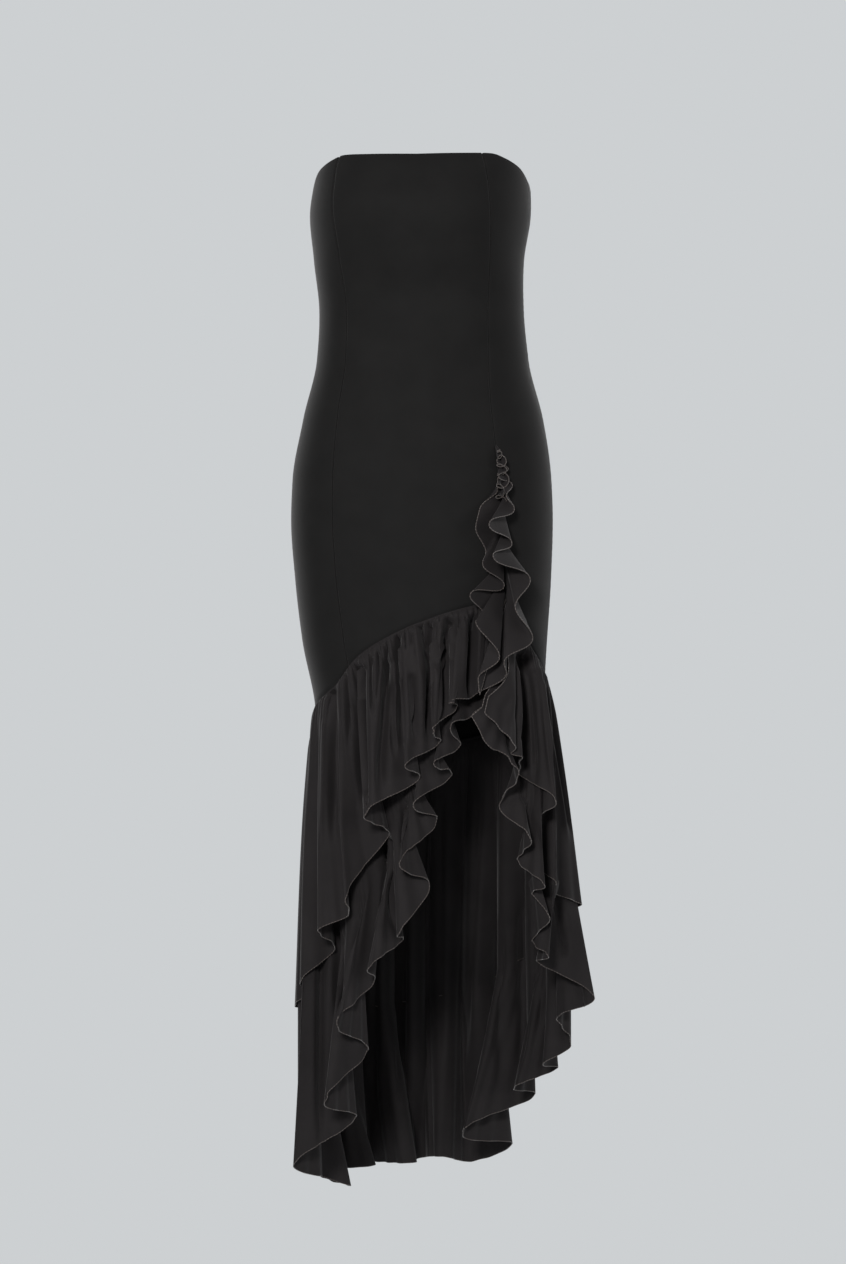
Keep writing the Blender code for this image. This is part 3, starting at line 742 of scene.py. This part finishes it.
def front_view(points):
    """Where the front view shows a place: side and drop at the dress's middle plane, and its depth."""
    across = points[..., 0] * math.cos(VIEW_TURN) + points[..., 1] * math.sin(VIEW_TURN)
    depth = points[..., 1] * math.cos(VIEW_TURN) - points[..., 0] * math.sin(VIEW_TURN)
    near = 1 + depth / VIEW_DISTANCE
    return across / near, VIEW_DROP - (points[..., 2] + VIEW_DROP) / near, depth


def creased(grid, rows, way):
    """Presses creases into the cloth that faces the viewer with its outside, way -1, or inside, way 1."""
    side, drop, depth = front_view(grid)
    out = sheet_normals(grid)
    facing = way * (out[..., 1] * math.cos(VIEW_TURN) - out[..., 0] * math.sin(VIEW_TURN))
    shown = np.clip(facing / CREASE_FACING, 0, 1) * (depth * way > 0)
    pressed = np.zeros_like(side)
    for row in rows:
        crease = dict(zip(CREASE_COLUMNS, row))
        start = np.array([crease["side"], crease["drop"]]) * MM
        end = np.array([crease["low_side"], crease["low_drop"]]) * MM
        width, deep = crease["width"] * MM, crease["depth"] * MM
        length = np.hypot(*(end - start))
        ahead = (end - start) / length
        along = (side - start[0]) * ahead[0] + (drop - start[1]) * ahead[1]
        away = (side - start[0]) * ahead[1] - (drop - start[1]) * ahead[0]
        rise = np.clip(along / CREASE_TOP, 0, 1)
        fall = np.clip((length - along) / (length * CREASE_LOW_SHARE), 0, 1)
        rise, fall = (share * share * (3 - 2 * share) for share in (rise, fall))
        trough = np.exp(-((away / width) ** 2))
        shoulders = SHOULDER * np.exp(-((away / width / SHOULDER_SPREAD) ** 2))
        pressed = pressed + deep * (trough - shoulders) * rise * fall
    return grid + out * (pressed * shown * way)[..., None]


def curl_path():
    """The line that the cascade's top end curls along, and where its cloth is sewn on."""
    turns = np.linspace(0, len(CURLS) - 1, CURL_POINTS * len(CURLS))
    side, drop, across, down = (
        smooth(turns, np.arange(len(CURLS)), column(CURLS, CURL_COLUMNS, name)) * MM for name in CURL_COLUMNS
    )
    side = side + across * np.cos(turns * 2 * math.pi)
    drop = drop + down * np.sin(turns * 2 * math.pi)
    root = body_point(seam_angle(drop, "left_seam"), drop)
    sway = CURL_SWAY * np.sin(turns * 2 * math.pi * CURL_SWAYS_A_TURN)
    depth = front_view(root)[2] - CURL_REACH - sway
    return from_front_view(side, drop, depth), root


class Ridges:
    """Ridges of uneven width, height and length that run down from a seam, side by side."""

    def __init__(self, length, width, seed):
        draw = np.random.default_rng(seed)
        widths = width * draw.uniform(0.6, 1.4, int(length / width * 1.5) + 2)
        self.starts = np.concatenate([[0], np.cumsum(widths)])
        self.widths = widths
        self.heights = draw.uniform(0.45, 1.0, len(widths))
        self.lengths = draw.uniform(0.35, 1.6, len(widths))

    def height(self, along, down, reach, sharpness):
        """Between 0 and 1: a ridge is round, and the valley beside it is as sharp as sharpness says."""
        i = np.clip(np.searchsorted(self.starts, along, side="right") - 1, 0, len(self.widths) - 1)
        across = np.clip((along - self.starts[i]) / self.widths[i], 0, 1)
        ridge = np.sin(math.pi * across) ** sharpness
        return self.heights[i] * ridge * np.exp(-((down / (reach * self.lengths[i])) ** 2))


def cloth_mesh(name, middle, thickness, material):
    """A closed wall of cloth on a grid of middle points, with its lengths in metres as UVs."""
    rows, columns = middle.shape[:2]
    out = sheet_normals(middle)
    points = np.concatenate([middle + out * thickness / 2, middle - out * thickness / 2])
    outer = np.arange(rows * columns).reshape(rows, columns)
    inner = outer + rows * columns

    def quads(a, b, c, d):
        return np.stack([np.ravel(side) for side in (a, b, c, d)], axis=1)

    faces = np.concatenate(
        [
            quads(outer[:-1, :-1], outer[1:, :-1], outer[1:, 1:], outer[:-1, 1:]),
            quads(inner[:-1, :-1], inner[:-1, 1:], inner[1:, 1:], inner[1:, :-1]),
            quads(outer[:-1, 0], inner[:-1, 0], inner[1:, 0], outer[1:, 0]),
            quads(outer[1:, -1], inner[1:, -1], inner[:-1, -1], outer[:-1, -1]),
            quads(outer[0, 1:], inner[0, 1:], inner[0, :-1], outer[0, :-1]),
            quads(outer[-1, :-1], inner[-1, :-1], inner[-1, 1:], outer[-1, 1:]),
        ]
    )
    uv = np.stack([along_rows(middle), down_columns(middle)], axis=-1).reshape(-1, 2)
    return mesh_piece(name, points.reshape(-1, 3), faces, np.concatenate([uv, uv]), material)


def mesh_piece(name, points, faces, uv, material):
    mesh = bpy.data.meshes.new(name)
    mesh.from_pydata(points.tolist(), [], faces.tolist())
    layer = mesh.uv_layers.new(name="metres")
    layer.data.foreach_set("uv", uv[faces.ravel()].astype(np.float32).ravel())
    mesh.materials.append(material)
    mesh.shade_smooth()
    mesh.set_sharp_from_angle(angle=math.radians(SHARP_ANGLE))
    thing = bpy.data.objects.new(name, mesh)
    bpy.context.scene.collection.objects.link(thing)
    return thing


def spaced(path, step):
    """The path again, with points this far apart."""
    lengths = np.concatenate([[0], np.cumsum(np.linalg.norm(np.diff(path, axis=0), axis=1))])
    places = np.linspace(0, lengths[-1], max(4, round(lengths[-1] / step)))
    return np.stack([np.interp(places, lengths, path[:, k]) for k in range(3)], axis=1)


def rolled_hem(name, path, material):
    """A rolled hem: a thin round bead of thread along the edge of the cloth."""
    path = spaced(path, HEM_POINT_STEP)
    ahead = unit(np.gradient(path, axis=0))
    side = np.zeros_like(path)
    side[0] = unit(np.cross(ahead[0], (0.3, 0.2, 1.0)))
    for i in range(1, len(path)):
        side[i] = unit(side[i - 1] - ahead[i] * np.dot(side[i - 1], ahead[i]))
    other = np.cross(ahead, side)
    turn = np.linspace(0, 2 * math.pi, HEM_SIDES, endpoint=False)
    ring = side[:, None] * np.cos(turn)[:, None] + other[:, None] * np.sin(turn)[:, None]
    points = (path[:, None] + ring * HEM_RADIUS).reshape(-1, 3)
    index = np.arange(len(points)).reshape(len(path), HEM_SIDES)
    after = np.roll(index, -1, axis=1)
    faces = np.stack([index[:-1], after[:-1], after[1:], index[1:]], axis=-1).reshape(-1, 4)
    along = along_rows(path[None])[0]
    uv = np.stack(np.broadcast_arrays(along[:, None], turn * HEM_RADIUS), axis=-1).reshape(-1, 2)
    return mesh_piece(name, points, faces, uv, material)


def panel(name, first_edge, last_edge, material):
    """A sheath panel between two edges, each given as a function of the drop, from top edge to tier seam."""

    def angle_at(drop, share):
        first, last = first_edge(drop), last_edge(drop)
        return first + (last - first) * share

    even = np.linspace(0, 1, WIDTH_POINTS)
    widest = body_point(angle_at(np.zeros_like(even), even), WIDEST_DROP)
    width = along_rows(widest[None])[0, -1]
    # Columns crowd at both edges, where the seams are turned in
    share = np.linspace(0, 1, max(LEAST_COLUMNS, round(width / SHEATH_STEP)) + 1)
    near = np.array(EDGE_COLUMNS) * MM / width
    clear = near[-1] * EDGE_CLEARANCE
    share = np.unique(np.concatenate([share[(share == 0) | (share > clear)], near]))
    share = share[share < 1 - clear]
    share = np.concatenate([share, 1 - near[::-1], [1.0]])[None, :]
    top = top_drop(angle_at(np.zeros_like(share), share))
    low = np.full_like(share, LOW_EDGE_GUESS)
    for _ in range(LOW_EDGE_PASSES):
        low = (low + tier_seam_drop(np.clip(angle_at(low, share), SLIT_ANGLE - LAP, SLIT_ANGLE))) / 2
    rows = round(PANEL_LENGTH / SHEATH_STEP)
    drop = top + (low - top) * np.linspace(0, 1, rows + 1)[:, None]
    rolled_drop, rolled_out = (column(TOP_ROLL, ROLL_COLUMNS, name) * MM for name in ROLL_COLUMNS)
    drop = np.concatenate([top + rolled_drop[:, None], drop[1:]])
    rolled = np.concatenate([rolled_out, np.zeros(rows)])[:, None]
    angle = angle_at(drop, share)
    middle = body_point(angle, drop)
    out = body_normal(angle, drop)
    across = along_rows(middle)
    edge = np.minimum(across, across[:, -1:] - across)
    from_low = np.abs(drop - low)
    groove = SEAM_GROOVE * sum(np.exp(-((away / SEAM_GROOVE_WIDTH) ** 2)) for away in (edge, from_low))
    wander = PUCKER_WANDER * np.sin(drop * PUCKER_WANDER_RATE)
    pucker = PUCKER_HEIGHT * np.sin(drop * 2 * math.pi / PUCKER_WIDTH + wander) * np.exp(-edge / PUCKER_REACH)
    middle = middle + out * (rolled - groove + pucker)[..., None]
    return cloth_mesh(name + "_cloth", middle, CLOTH_SHEATH, material), middle


def build_sheath(material):
    """The seven panels, each between two seams, whose angles are functions of the drop."""

    def seam(start, way, name):
        return lambda drop: start + way * seam_angle(drop, name)

    def fixed(angle):
        return lambda drop: drop * 0 + angle

    front_right, front_left = seam(0, -1, "right_seam"), seam(0, 1, "left_seam")
    back_right, back_left = seam(-180, 1, "back_seam"), seam(-180, -1, "back_seam")
    edges = {
        "front_panel": (front_right, front_left),
        "side_front_right": (fixed(-90), front_right),
        "side_back_right": (back_right, fixed(-90)),
        "back_right": (fixed(-180), back_right),
        "back_left": (back_left, fixed(-180)),
        "side_back_left": (fixed(-270), back_left),
        "side_front_left": (seam(-LAP, 1, "left_seam"), fixed(-270)),
    }
    names = list(edges)
    for i, name in enumerate(names):
        piece, grid = panel(name, *edges[name], material)
        dress_piece(piece, grid, name)


def cut_size(grid):
    """The mean width, the greatest length and the area that a grid of cloth was cut to."""
    cells = np.cross(grid[1:, 1:] - grid[:-1, :-1], grid[1:, :-1] - grid[:-1, 1:])
    area = np.linalg.norm(cells, axis=-1).sum() / 2
    width, length = along_rows(grid)[:, -1].mean(), down_columns(grid)[-1].max()
    return float(width), float(length), float(min(area, width * length))


def dress_piece(piece, grid, node):
    """Attaches a piece of cloth to its body and hides its solid; the size of its cut is worked out but not
    kept.
    """
    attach(piece, "root")
    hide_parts(node)
    width, length, area = cut_size(grid)


def tier_angles():
    """The angles of the tiers' columns, close together along the seam and along both hems."""
    dense = np.linspace(UPPER_HEM.keys[-1], UPPER_HEM.keys[0], TIER_POINTS)
    lines = (
        (body_point(dense, tier_seam_drop(dense)), SEAM_STEP),
        (UPPER_HEM.point(dense), HEM_STEP),
        (LOWER_HEM.point(dense), HEM_STEP),
    )
    steps = [np.linalg.norm(np.diff(line, axis=0), axis=1) / step for line, step in lines]
    total = np.concatenate([[0], np.cumsum(np.max(steps, axis=0))])
    count = math.ceil(total[-1])
    angles = np.interp(np.linspace(0, total[-1], count + 1), total, dense)
    for end in TIER_ENDS:
        angles[np.argmin(np.abs(angles - end))] = end
    return angles


def tucked(angles, inward):
    """The rows beside the seam, where a tier's top edge lies behind the sheath's lower edge."""
    seam = tier_seam_drop(angles)
    rows = []
    for above, share in TUCK_ROWS:
        drop = seam - above
        rows.append(body_point(angles, drop) + body_normal(angles, drop) * inward * share)
    return np.stack(rows)


def gathered(grid, angles, seed, strength, sharpness):
    """Adds the gathers, the folds that they run into, and the flutes of the hem."""
    top_rows = len(TUCK_ROWS)
    seam = along_rows(body_point(angles, tier_seam_drop(angles))[None])[0]
    down = down_columns(grid) - down_columns(grid)[top_rows]
    down = np.maximum(down, 0)
    length = down[-1]
    gathers = Ridges(seam[-1], GATHER_WIDTH, seed)
    folds = Ridges(seam[-1], FOLD_WIDTH, seed + 1)
    small = gathers.height(seam, down, GATHER_REACH, sharpness)
    small = small * (GATHER_AT_SEAM + (1 - GATHER_AT_SEAM) * np.clip(down / GATHER_RISE, 0, 1))
    wide = folds.height(seam, down, FOLD_REACH, FOLD_SHARPNESS) * np.clip(down / FOLD_START, 0, 1)
    hem = along_rows(grid[-1:])[0]
    wander = FLUTE_WANDER * np.sin(hem * FLUTE_WANDER_RATE + seed)
    flutes = np.sin(hem * 2 * math.pi / FLUTE_WIDTH + wander)
    flutes = flutes * np.clip(down / np.maximum(length, FLUTE_LEAST_LENGTH), 0, 1) ** FLUTE_GROWTH
    short = np.clip(length / SHORT_TIER, SHORT_SHARE, 1)
    calm = from_slit(angles)
    from_cascade = np.clip((angles - UPPER_HEM.keys[-1]) / CALM_BY_CASCADE, CALM_SHARE, 1)
    height = GATHER_HEIGHT * small * from_cascade * strength
    height = height + FOLD_HEIGHT * (wide - FOLD_MEAN) * from_cascade * calm * short * strength
    height = (height + FLUTE_HEIGHT * flutes * short) * (np.arange(len(grid)) >= top_rows)[:, None]
    return grid + sheet_normals(grid) * height[..., None]


def tier_grids():
    """The angles of the tiers' columns, and both tiers as grids with every fold and crease."""
    angles = tier_angles()
    ways = (np.linspace(0, 1, UPPER_ROWS + 1) ** UPPER_ROW_GROWTH)[:, None]
    upper = upper_point(*np.broadcast_arrays(angles[None, :], ways))
    upper = np.concatenate([tucked(angles, UPPER_TUCK), creased(upper, UPPER_CREASES, -1)])
    upper = gathered(upper, angles, **UPPER_GATHERS)
    under = np.linspace(0, 1, LOWER_ROWS_UNDER + 1)
    below = np.linspace(1, 2, LOWER_ROWS_BELOW + 1)[1:]
    ways = np.concatenate([under, below])[:, None]
    lower = lower_point(*np.broadcast_arrays(angles[None, :], ways))
    nested = follows_upper(angles)[None, :] * np.clip(ways * NESTED_RISE, 0, 1) * np.clip(2 - ways, 0, 1)
    lower = lower - sheet_normals(lower) * (NESTED_ROOM * nested)[..., None]
    lower = creased(lower, LOWER_CREASES, -1)
    lower = creased(lower, INSIDE_CREASES, 1)
    under_rows = LOWER_ROWS_UNDER + 1
    lower[:under_rows] = creased(lower[:under_rows], UPPER_CREASES, -1)
    lower = np.concatenate([tucked(angles, LOWER_TUCK), lower])
    lower = gathered(lower, angles, **LOWER_GATHERS)
    return angles, upper, lower


def with_allowances(part, at_first, at_last):
    """Adds a seam allowance that stands up inside a piece at either of its sewn edges."""
    out = sheet_normals(part)
    columns = [part]
    if at_first:
        columns.insert(0, (part[:, 0] - out[:, 0] * ALLOWANCE)[:, None])
    if at_last:
        columns.append((part[:, -1] - out[:, -1] * ALLOWANCE)[:, None])
    return np.concatenate(columns, axis=1)


def build_tiers(cloth, thread):
    angles, upper, lower = tier_grids()
    borders = (angles[0], *TIER_ENDS, angles[-1])
    names = ("left_front", "left_back", "right_back", "right_front")
    start = len(TUCK_ROWS)
    for tier, grid in (("upper_ruffle_", upper), ("lower_ruffle_", lower)):
        for name, first, last in zip(names, borders[:-1], borders[1:]):
            chosen = (angles >= first - 1e-6) & (angles <= last + 1e-6)
            part = with_allowances(grid[:, chosen], first in TIER_ENDS, last in TIER_ENDS)
            path = part[-1]
            if name == "left_front":
                path = np.concatenate([part[start:-1, 0], path])
            if name == "right_front":
                path = np.concatenate([path, part[start:-1, -1][::-1]])
            piece = cloth_mesh(tier + name + "_cloth", part, CLOTH, cloth)
            hem = rolled_hem(tier + name + "_hem", path, thread)
            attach(hem, "root")
            dress_piece(piece, part, tier + name)


def build_cascade(cloth, thread):
    for name, hem_line, offset in (
        ("cascade_right", RIGHT_FLOUNCE_HEM, -FLOUNCE_SPACING),
        ("cascade_left", LEFT_FLOUNCE_HEM, FLOUNCE_SPACING),
    ):
        dense = np.linspace(0, hem_line.keys[-1], FLOUNCE_POINTS)
        total = along_rows(hem_line.point(dense)[None])[0]
        count = round(total[-1] / FLOUNCE_STEP)
        along = np.interp(np.linspace(0, total[-1], count + 1), total, dense)
        ways = np.linspace(0, 1, FLOUNCE_ROWS + 1)[:, None]
        grid = flounce_point(hem_line, *np.broadcast_arrays(along[None, :], ways), offset)
        piece = cloth_mesh(name + "_cloth", grid, CLOTH, cloth)
        path = np.concatenate([grid[:-1, 0], grid[-1], grid[:-1, -1][::-1]])
        hem = rolled_hem(name + "_hem", path, thread)
        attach(hem, "root")
        dress_piece(piece, grid, name)


def build_curls(cloth, thread):
    path, root = curl_path()
    grid = np.stack([root + (path - root) * share for share in CURL_STRIP])
    piece = cloth_mesh("cascade_curls_cloth", grid, CLOTH, cloth)
    hem = rolled_hem("cascade_curls_hem", path, thread)
    for thing in (piece, hem):
        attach(thing, "root")
    width, length, area = cut_size(grid)


# The crepes: the darkest and lightest colours that the weave and the dye give, sheen and specular
SHEATH_CREPE = {
    "dark": (0.0044, 0.0042, 0.0041),
    "light": (0.0080, 0.0076, 0.0074),
    "sheen": 0.1,
    "specular": 0.1,
}
RUFFLE_CREPE = {
    "dark": (0.0096, 0.0084, 0.0086),
    "light": (0.0164, 0.0144, 0.0147),
    "sheen": 0.06,
    "specular": 0.1,
}
CREPE_SHEEN = {"Sheen Roughness": 0.4, "Sheen Tint": (1.0, 0.97, 0.97, 1)}
PEBBLES = {"Scale": 1500, "Detail": 2}
DYE_CLOUDS = {"Scale": 28, "Detail": 3}
WEAVE = {"Scale": 320, "Distortion": 1.5, "Detail": 1}
CREPE_BUMP = {"Strength": 0.35, "Distance": 0.12 * MM}
CREPE_CONTRAST = {"From Min": 0.3, "From Max": 1.3}
CREPE_ROUGHNESS = {"To Min": 0.68, "To Max": 0.86}
WEAVE_SHARE = 0.5
# The thread of the rolled hems
THREAD_SHADER = {"Sheen Weight": 0.3, "Specular IOR Level": 0.4}
THREAD_WRAPS = {"Scale": 150, "Distortion": 0.6}
THREAD_COLOURS = {"A": (0.016, 0.012, 0.010, 1), "B": (0.062, 0.045, 0.038, 1)}
THREAD_BUMP = {"Strength": 0.7, "Distance": 0.25 * MM}
THREAD_ROUGHNESS = {"To Min": 0.75, "To Max": 0.55}


def new_material(name):
    material = bpy.data.materials.new(name)
    material.use_nodes = True
    return material, material.node_tree.nodes, material.node_tree.links


def set_inputs(node, values):
    for name, value in values.items():
        node.inputs[name].default_value = value


def add_node(nodes, kind, values):
    node = nodes.new(kind)
    set_inputs(node, values)
    return node


def colour_mix(nodes, values):
    mix = nodes.new("ShaderNodeMix")
    mix.data_type = "RGBA"
    set_inputs(mix, values)
    return mix


def crepe(name, dark, light, sheen, specular):
    """A matte crepe: a fine crossing weave with pebbled bumps, and a faint unevenness of the dye."""
    material, nodes, links = new_material(name)
    shader = nodes["Principled BSDF"]
    set_inputs(shader, {"Metallic": 0, "Specular IOR Level": specular, "Sheen Weight": sheen})
    set_inputs(shader, CREPE_SHEEN)
    place = nodes.new("ShaderNodeTexCoord")
    pebbles = add_node(nodes, "ShaderNodeTexNoise", PEBBLES)
    clouds = add_node(nodes, "ShaderNodeTexNoise", DYE_CLOUDS)
    for noise in (pebbles, clouds):
        links.new(place.outputs["Object"], noise.inputs["Vector"])
    weave = nodes.new("ShaderNodeMath")
    weave.operation = "MULTIPLY"
    for i, direction in enumerate(("X", "Y")):
        wave = add_node(nodes, "ShaderNodeTexWave", WEAVE)
        wave.bands_direction = direction
        links.new(place.outputs["UV"], wave.inputs["Vector"])
        links.new(wave.outputs["Fac"], weave.inputs[i])
    height = nodes.new("ShaderNodeMath")
    height.operation = "ADD"
    links.new(weave.outputs[0], height.inputs[0])
    links.new(pebbles.outputs["Fac"], height.inputs[1])
    bump = add_node(nodes, "ShaderNodeBump", CREPE_BUMP)
    links.new(height.outputs[0], bump.inputs["Height"])
    links.new(bump.outputs["Normal"], shader.inputs["Normal"])
    blend = nodes.new("ShaderNodeMath")
    blend.operation = "MULTIPLY_ADD"
    blend.inputs[1].default_value = WEAVE_SHARE
    links.new(height.outputs[0], blend.inputs[0])
    links.new(clouds.outputs["Fac"], blend.inputs[2])
    contrast = add_node(nodes, "ShaderNodeMapRange", CREPE_CONTRAST)
    links.new(blend.outputs[0], contrast.inputs["Value"])
    mix = colour_mix(nodes, {"A": (*dark, 1), "B": (*light, 1)})
    links.new(contrast.outputs["Result"], mix.inputs["Factor"])
    links.new(mix.outputs["Result"], shader.inputs["Base Color"])
    rough = add_node(nodes, "ShaderNodeMapRange", CREPE_ROUGHNESS)
    links.new(pebbles.outputs["Fac"], rough.inputs["Value"])
    links.new(rough.outputs["Result"], shader.inputs["Roughness"])
    return material


def hem_thread():
    """Brown-black overlock thread, wrapped closely round the rolled hem."""
    material, nodes, links = new_material("hem_thread")
    shader = nodes["Principled BSDF"]
    set_inputs(shader, THREAD_SHADER)
    place = nodes.new("ShaderNodeTexCoord")
    wraps = add_node(nodes, "ShaderNodeTexWave", THREAD_WRAPS)
    wraps.bands_direction = "DIAGONAL"
    links.new(place.outputs["UV"], wraps.inputs["Vector"])
    colours = colour_mix(nodes, THREAD_COLOURS)
    links.new(wraps.outputs["Fac"], colours.inputs["Factor"])
    links.new(colours.outputs["Result"], shader.inputs["Base Color"])
    bump = add_node(nodes, "ShaderNodeBump", THREAD_BUMP)
    links.new(wraps.outputs["Fac"], bump.inputs["Height"])
    links.new(bump.outputs["Normal"], shader.inputs["Normal"])
    rough = add_node(nodes, "ShaderNodeMapRange", THREAD_ROUGHNESS)
    links.new(wraps.outputs["Fac"], rough.inputs["Value"])
    links.new(rough.outputs["Result"], shader.inputs["Roughness"])
    return material


# The studio
BACKGROUND = (0.610, 0.631, 0.645)
AMBIENT_SHARE = 0.5
FLOOR_DROP = 1.75
FLOOR_RADIUS = 1.45
FLOOR_CORNERS = 96
FLOOR_ROUGHNESS = 0.9
LENS = 78.5
SENSOR = 36
# Each light's name, place, width and height in metres, and power in watts
LIGHTS = (
    ("key", (-0.37, -2.98, 0.3), (0.5, 0.5), 84),
    ("fill", (2.6, -1.8, 0.0), (1.0, 2.0), 20),
    ("side", (-2.6, -1.8, 0.2), (1.0, 1.8), 20),
    ("rim_left", (-1.6, 1.3, -0.2), (0.5, 2.4), 20),
    ("back", (0.7, 3.0, 0.6), (1.4, 1.8), 34),
    ("rim_right", (1.7, 1.0, -0.2), (0.5, 2.4), 12),
)
LIT_PLACE = (0, 0, -0.6)


def floor_paint():
    material, nodes, _ = new_material("floor_paint")
    set_inputs(nodes["Principled BSDF"], {"Base Color": (*BACKGROUND, 1), "Roughness": FLOOR_ROUGHNESS})
    return material


def build_stage():
    turn = np.linspace(0, 2 * math.pi, FLOOR_CORNERS, endpoint=False)
    points = [(FLOOR_RADIUS * math.cos(t), FLOOR_RADIUS * math.sin(t), -FLOOR_DROP) for t in turn]
    mesh = bpy.data.meshes.new("floor")
    mesh.from_pydata(points, [], [tuple(range(FLOOR_CORNERS))])
    mesh.materials.append(floor_paint())
    floor = bpy.data.objects.new("floor", mesh)
    bpy.context.scene.collection.objects.link(floor)


def area_light(name, place, size, power):
    light = bpy.data.objects.new(name, bpy.data.lights.new(name, "AREA"))
    light.data.shape = "RECTANGLE"
    light.data.size, light.data.size_y = size
    light.data.energy = power
    bpy.context.scene.collection.objects.link(light)
    light.location = place
    towards = np.array(LIT_PLACE) - np.array(place)
    light.rotation_euler = Vector(towards.tolist()).to_track_quat("-Z", "Y").to_euler()


def build_lights():
    scene = bpy.context.scene
    world = bpy.data.worlds.new("studio")
    world.use_nodes = True
    tree = world.node_tree
    tree.nodes["Background"].inputs["Color"].default_value = (*BACKGROUND, 1)
    # The backdrop looks brighter than the light that reaches the dress from it
    seen = tree.nodes.new("ShaderNodeLightPath")
    strength = tree.nodes.new("ShaderNodeMapRange")
    strength.inputs["To Min"].default_value = AMBIENT_SHARE
    strength.inputs["To Max"].default_value = 1
    tree.links.new(seen.outputs["Is Camera Ray"], strength.inputs["Value"])
    tree.links.new(strength.outputs["Result"], tree.nodes["Background"].inputs["Strength"])
    scene.world = world
    for light in LIGHTS:
        area_light(*light)
    scene.view_settings.view_transform = "Standard"


def build_camera():
    camera = bpy.data.objects.new("camera", bpy.data.cameras.new("camera"))
    bpy.context.scene.collection.objects.link(camera)
    camera.data.sensor_width = SENSOR
    camera.data.lens = LENS
    camera.location = (
        VIEW_DISTANCE * math.sin(VIEW_TURN),
        -VIEW_DISTANCE * math.cos(VIEW_TURN),
        -VIEW_DROP,
    )
    camera.rotation_euler = (math.pi / 2, 0, VIEW_TURN)
    bpy.context.scene.camera = camera


for thing in list(bpy.data.objects):
    bpy.data.objects.remove(thing)
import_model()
build_camera()
sheath_cloth = crepe("sheath_crepe", **SHEATH_CREPE)
ruffle_cloth = crepe("ruffle_crepe", **RUFFLE_CREPE)
thread = hem_thread()
build_sheath(sheath_cloth)
build_tiers(ruffle_cloth, thread)
build_cascade(ruffle_cloth, thread)
build_curls(ruffle_cloth, thread)
build_stage()
build_lights()
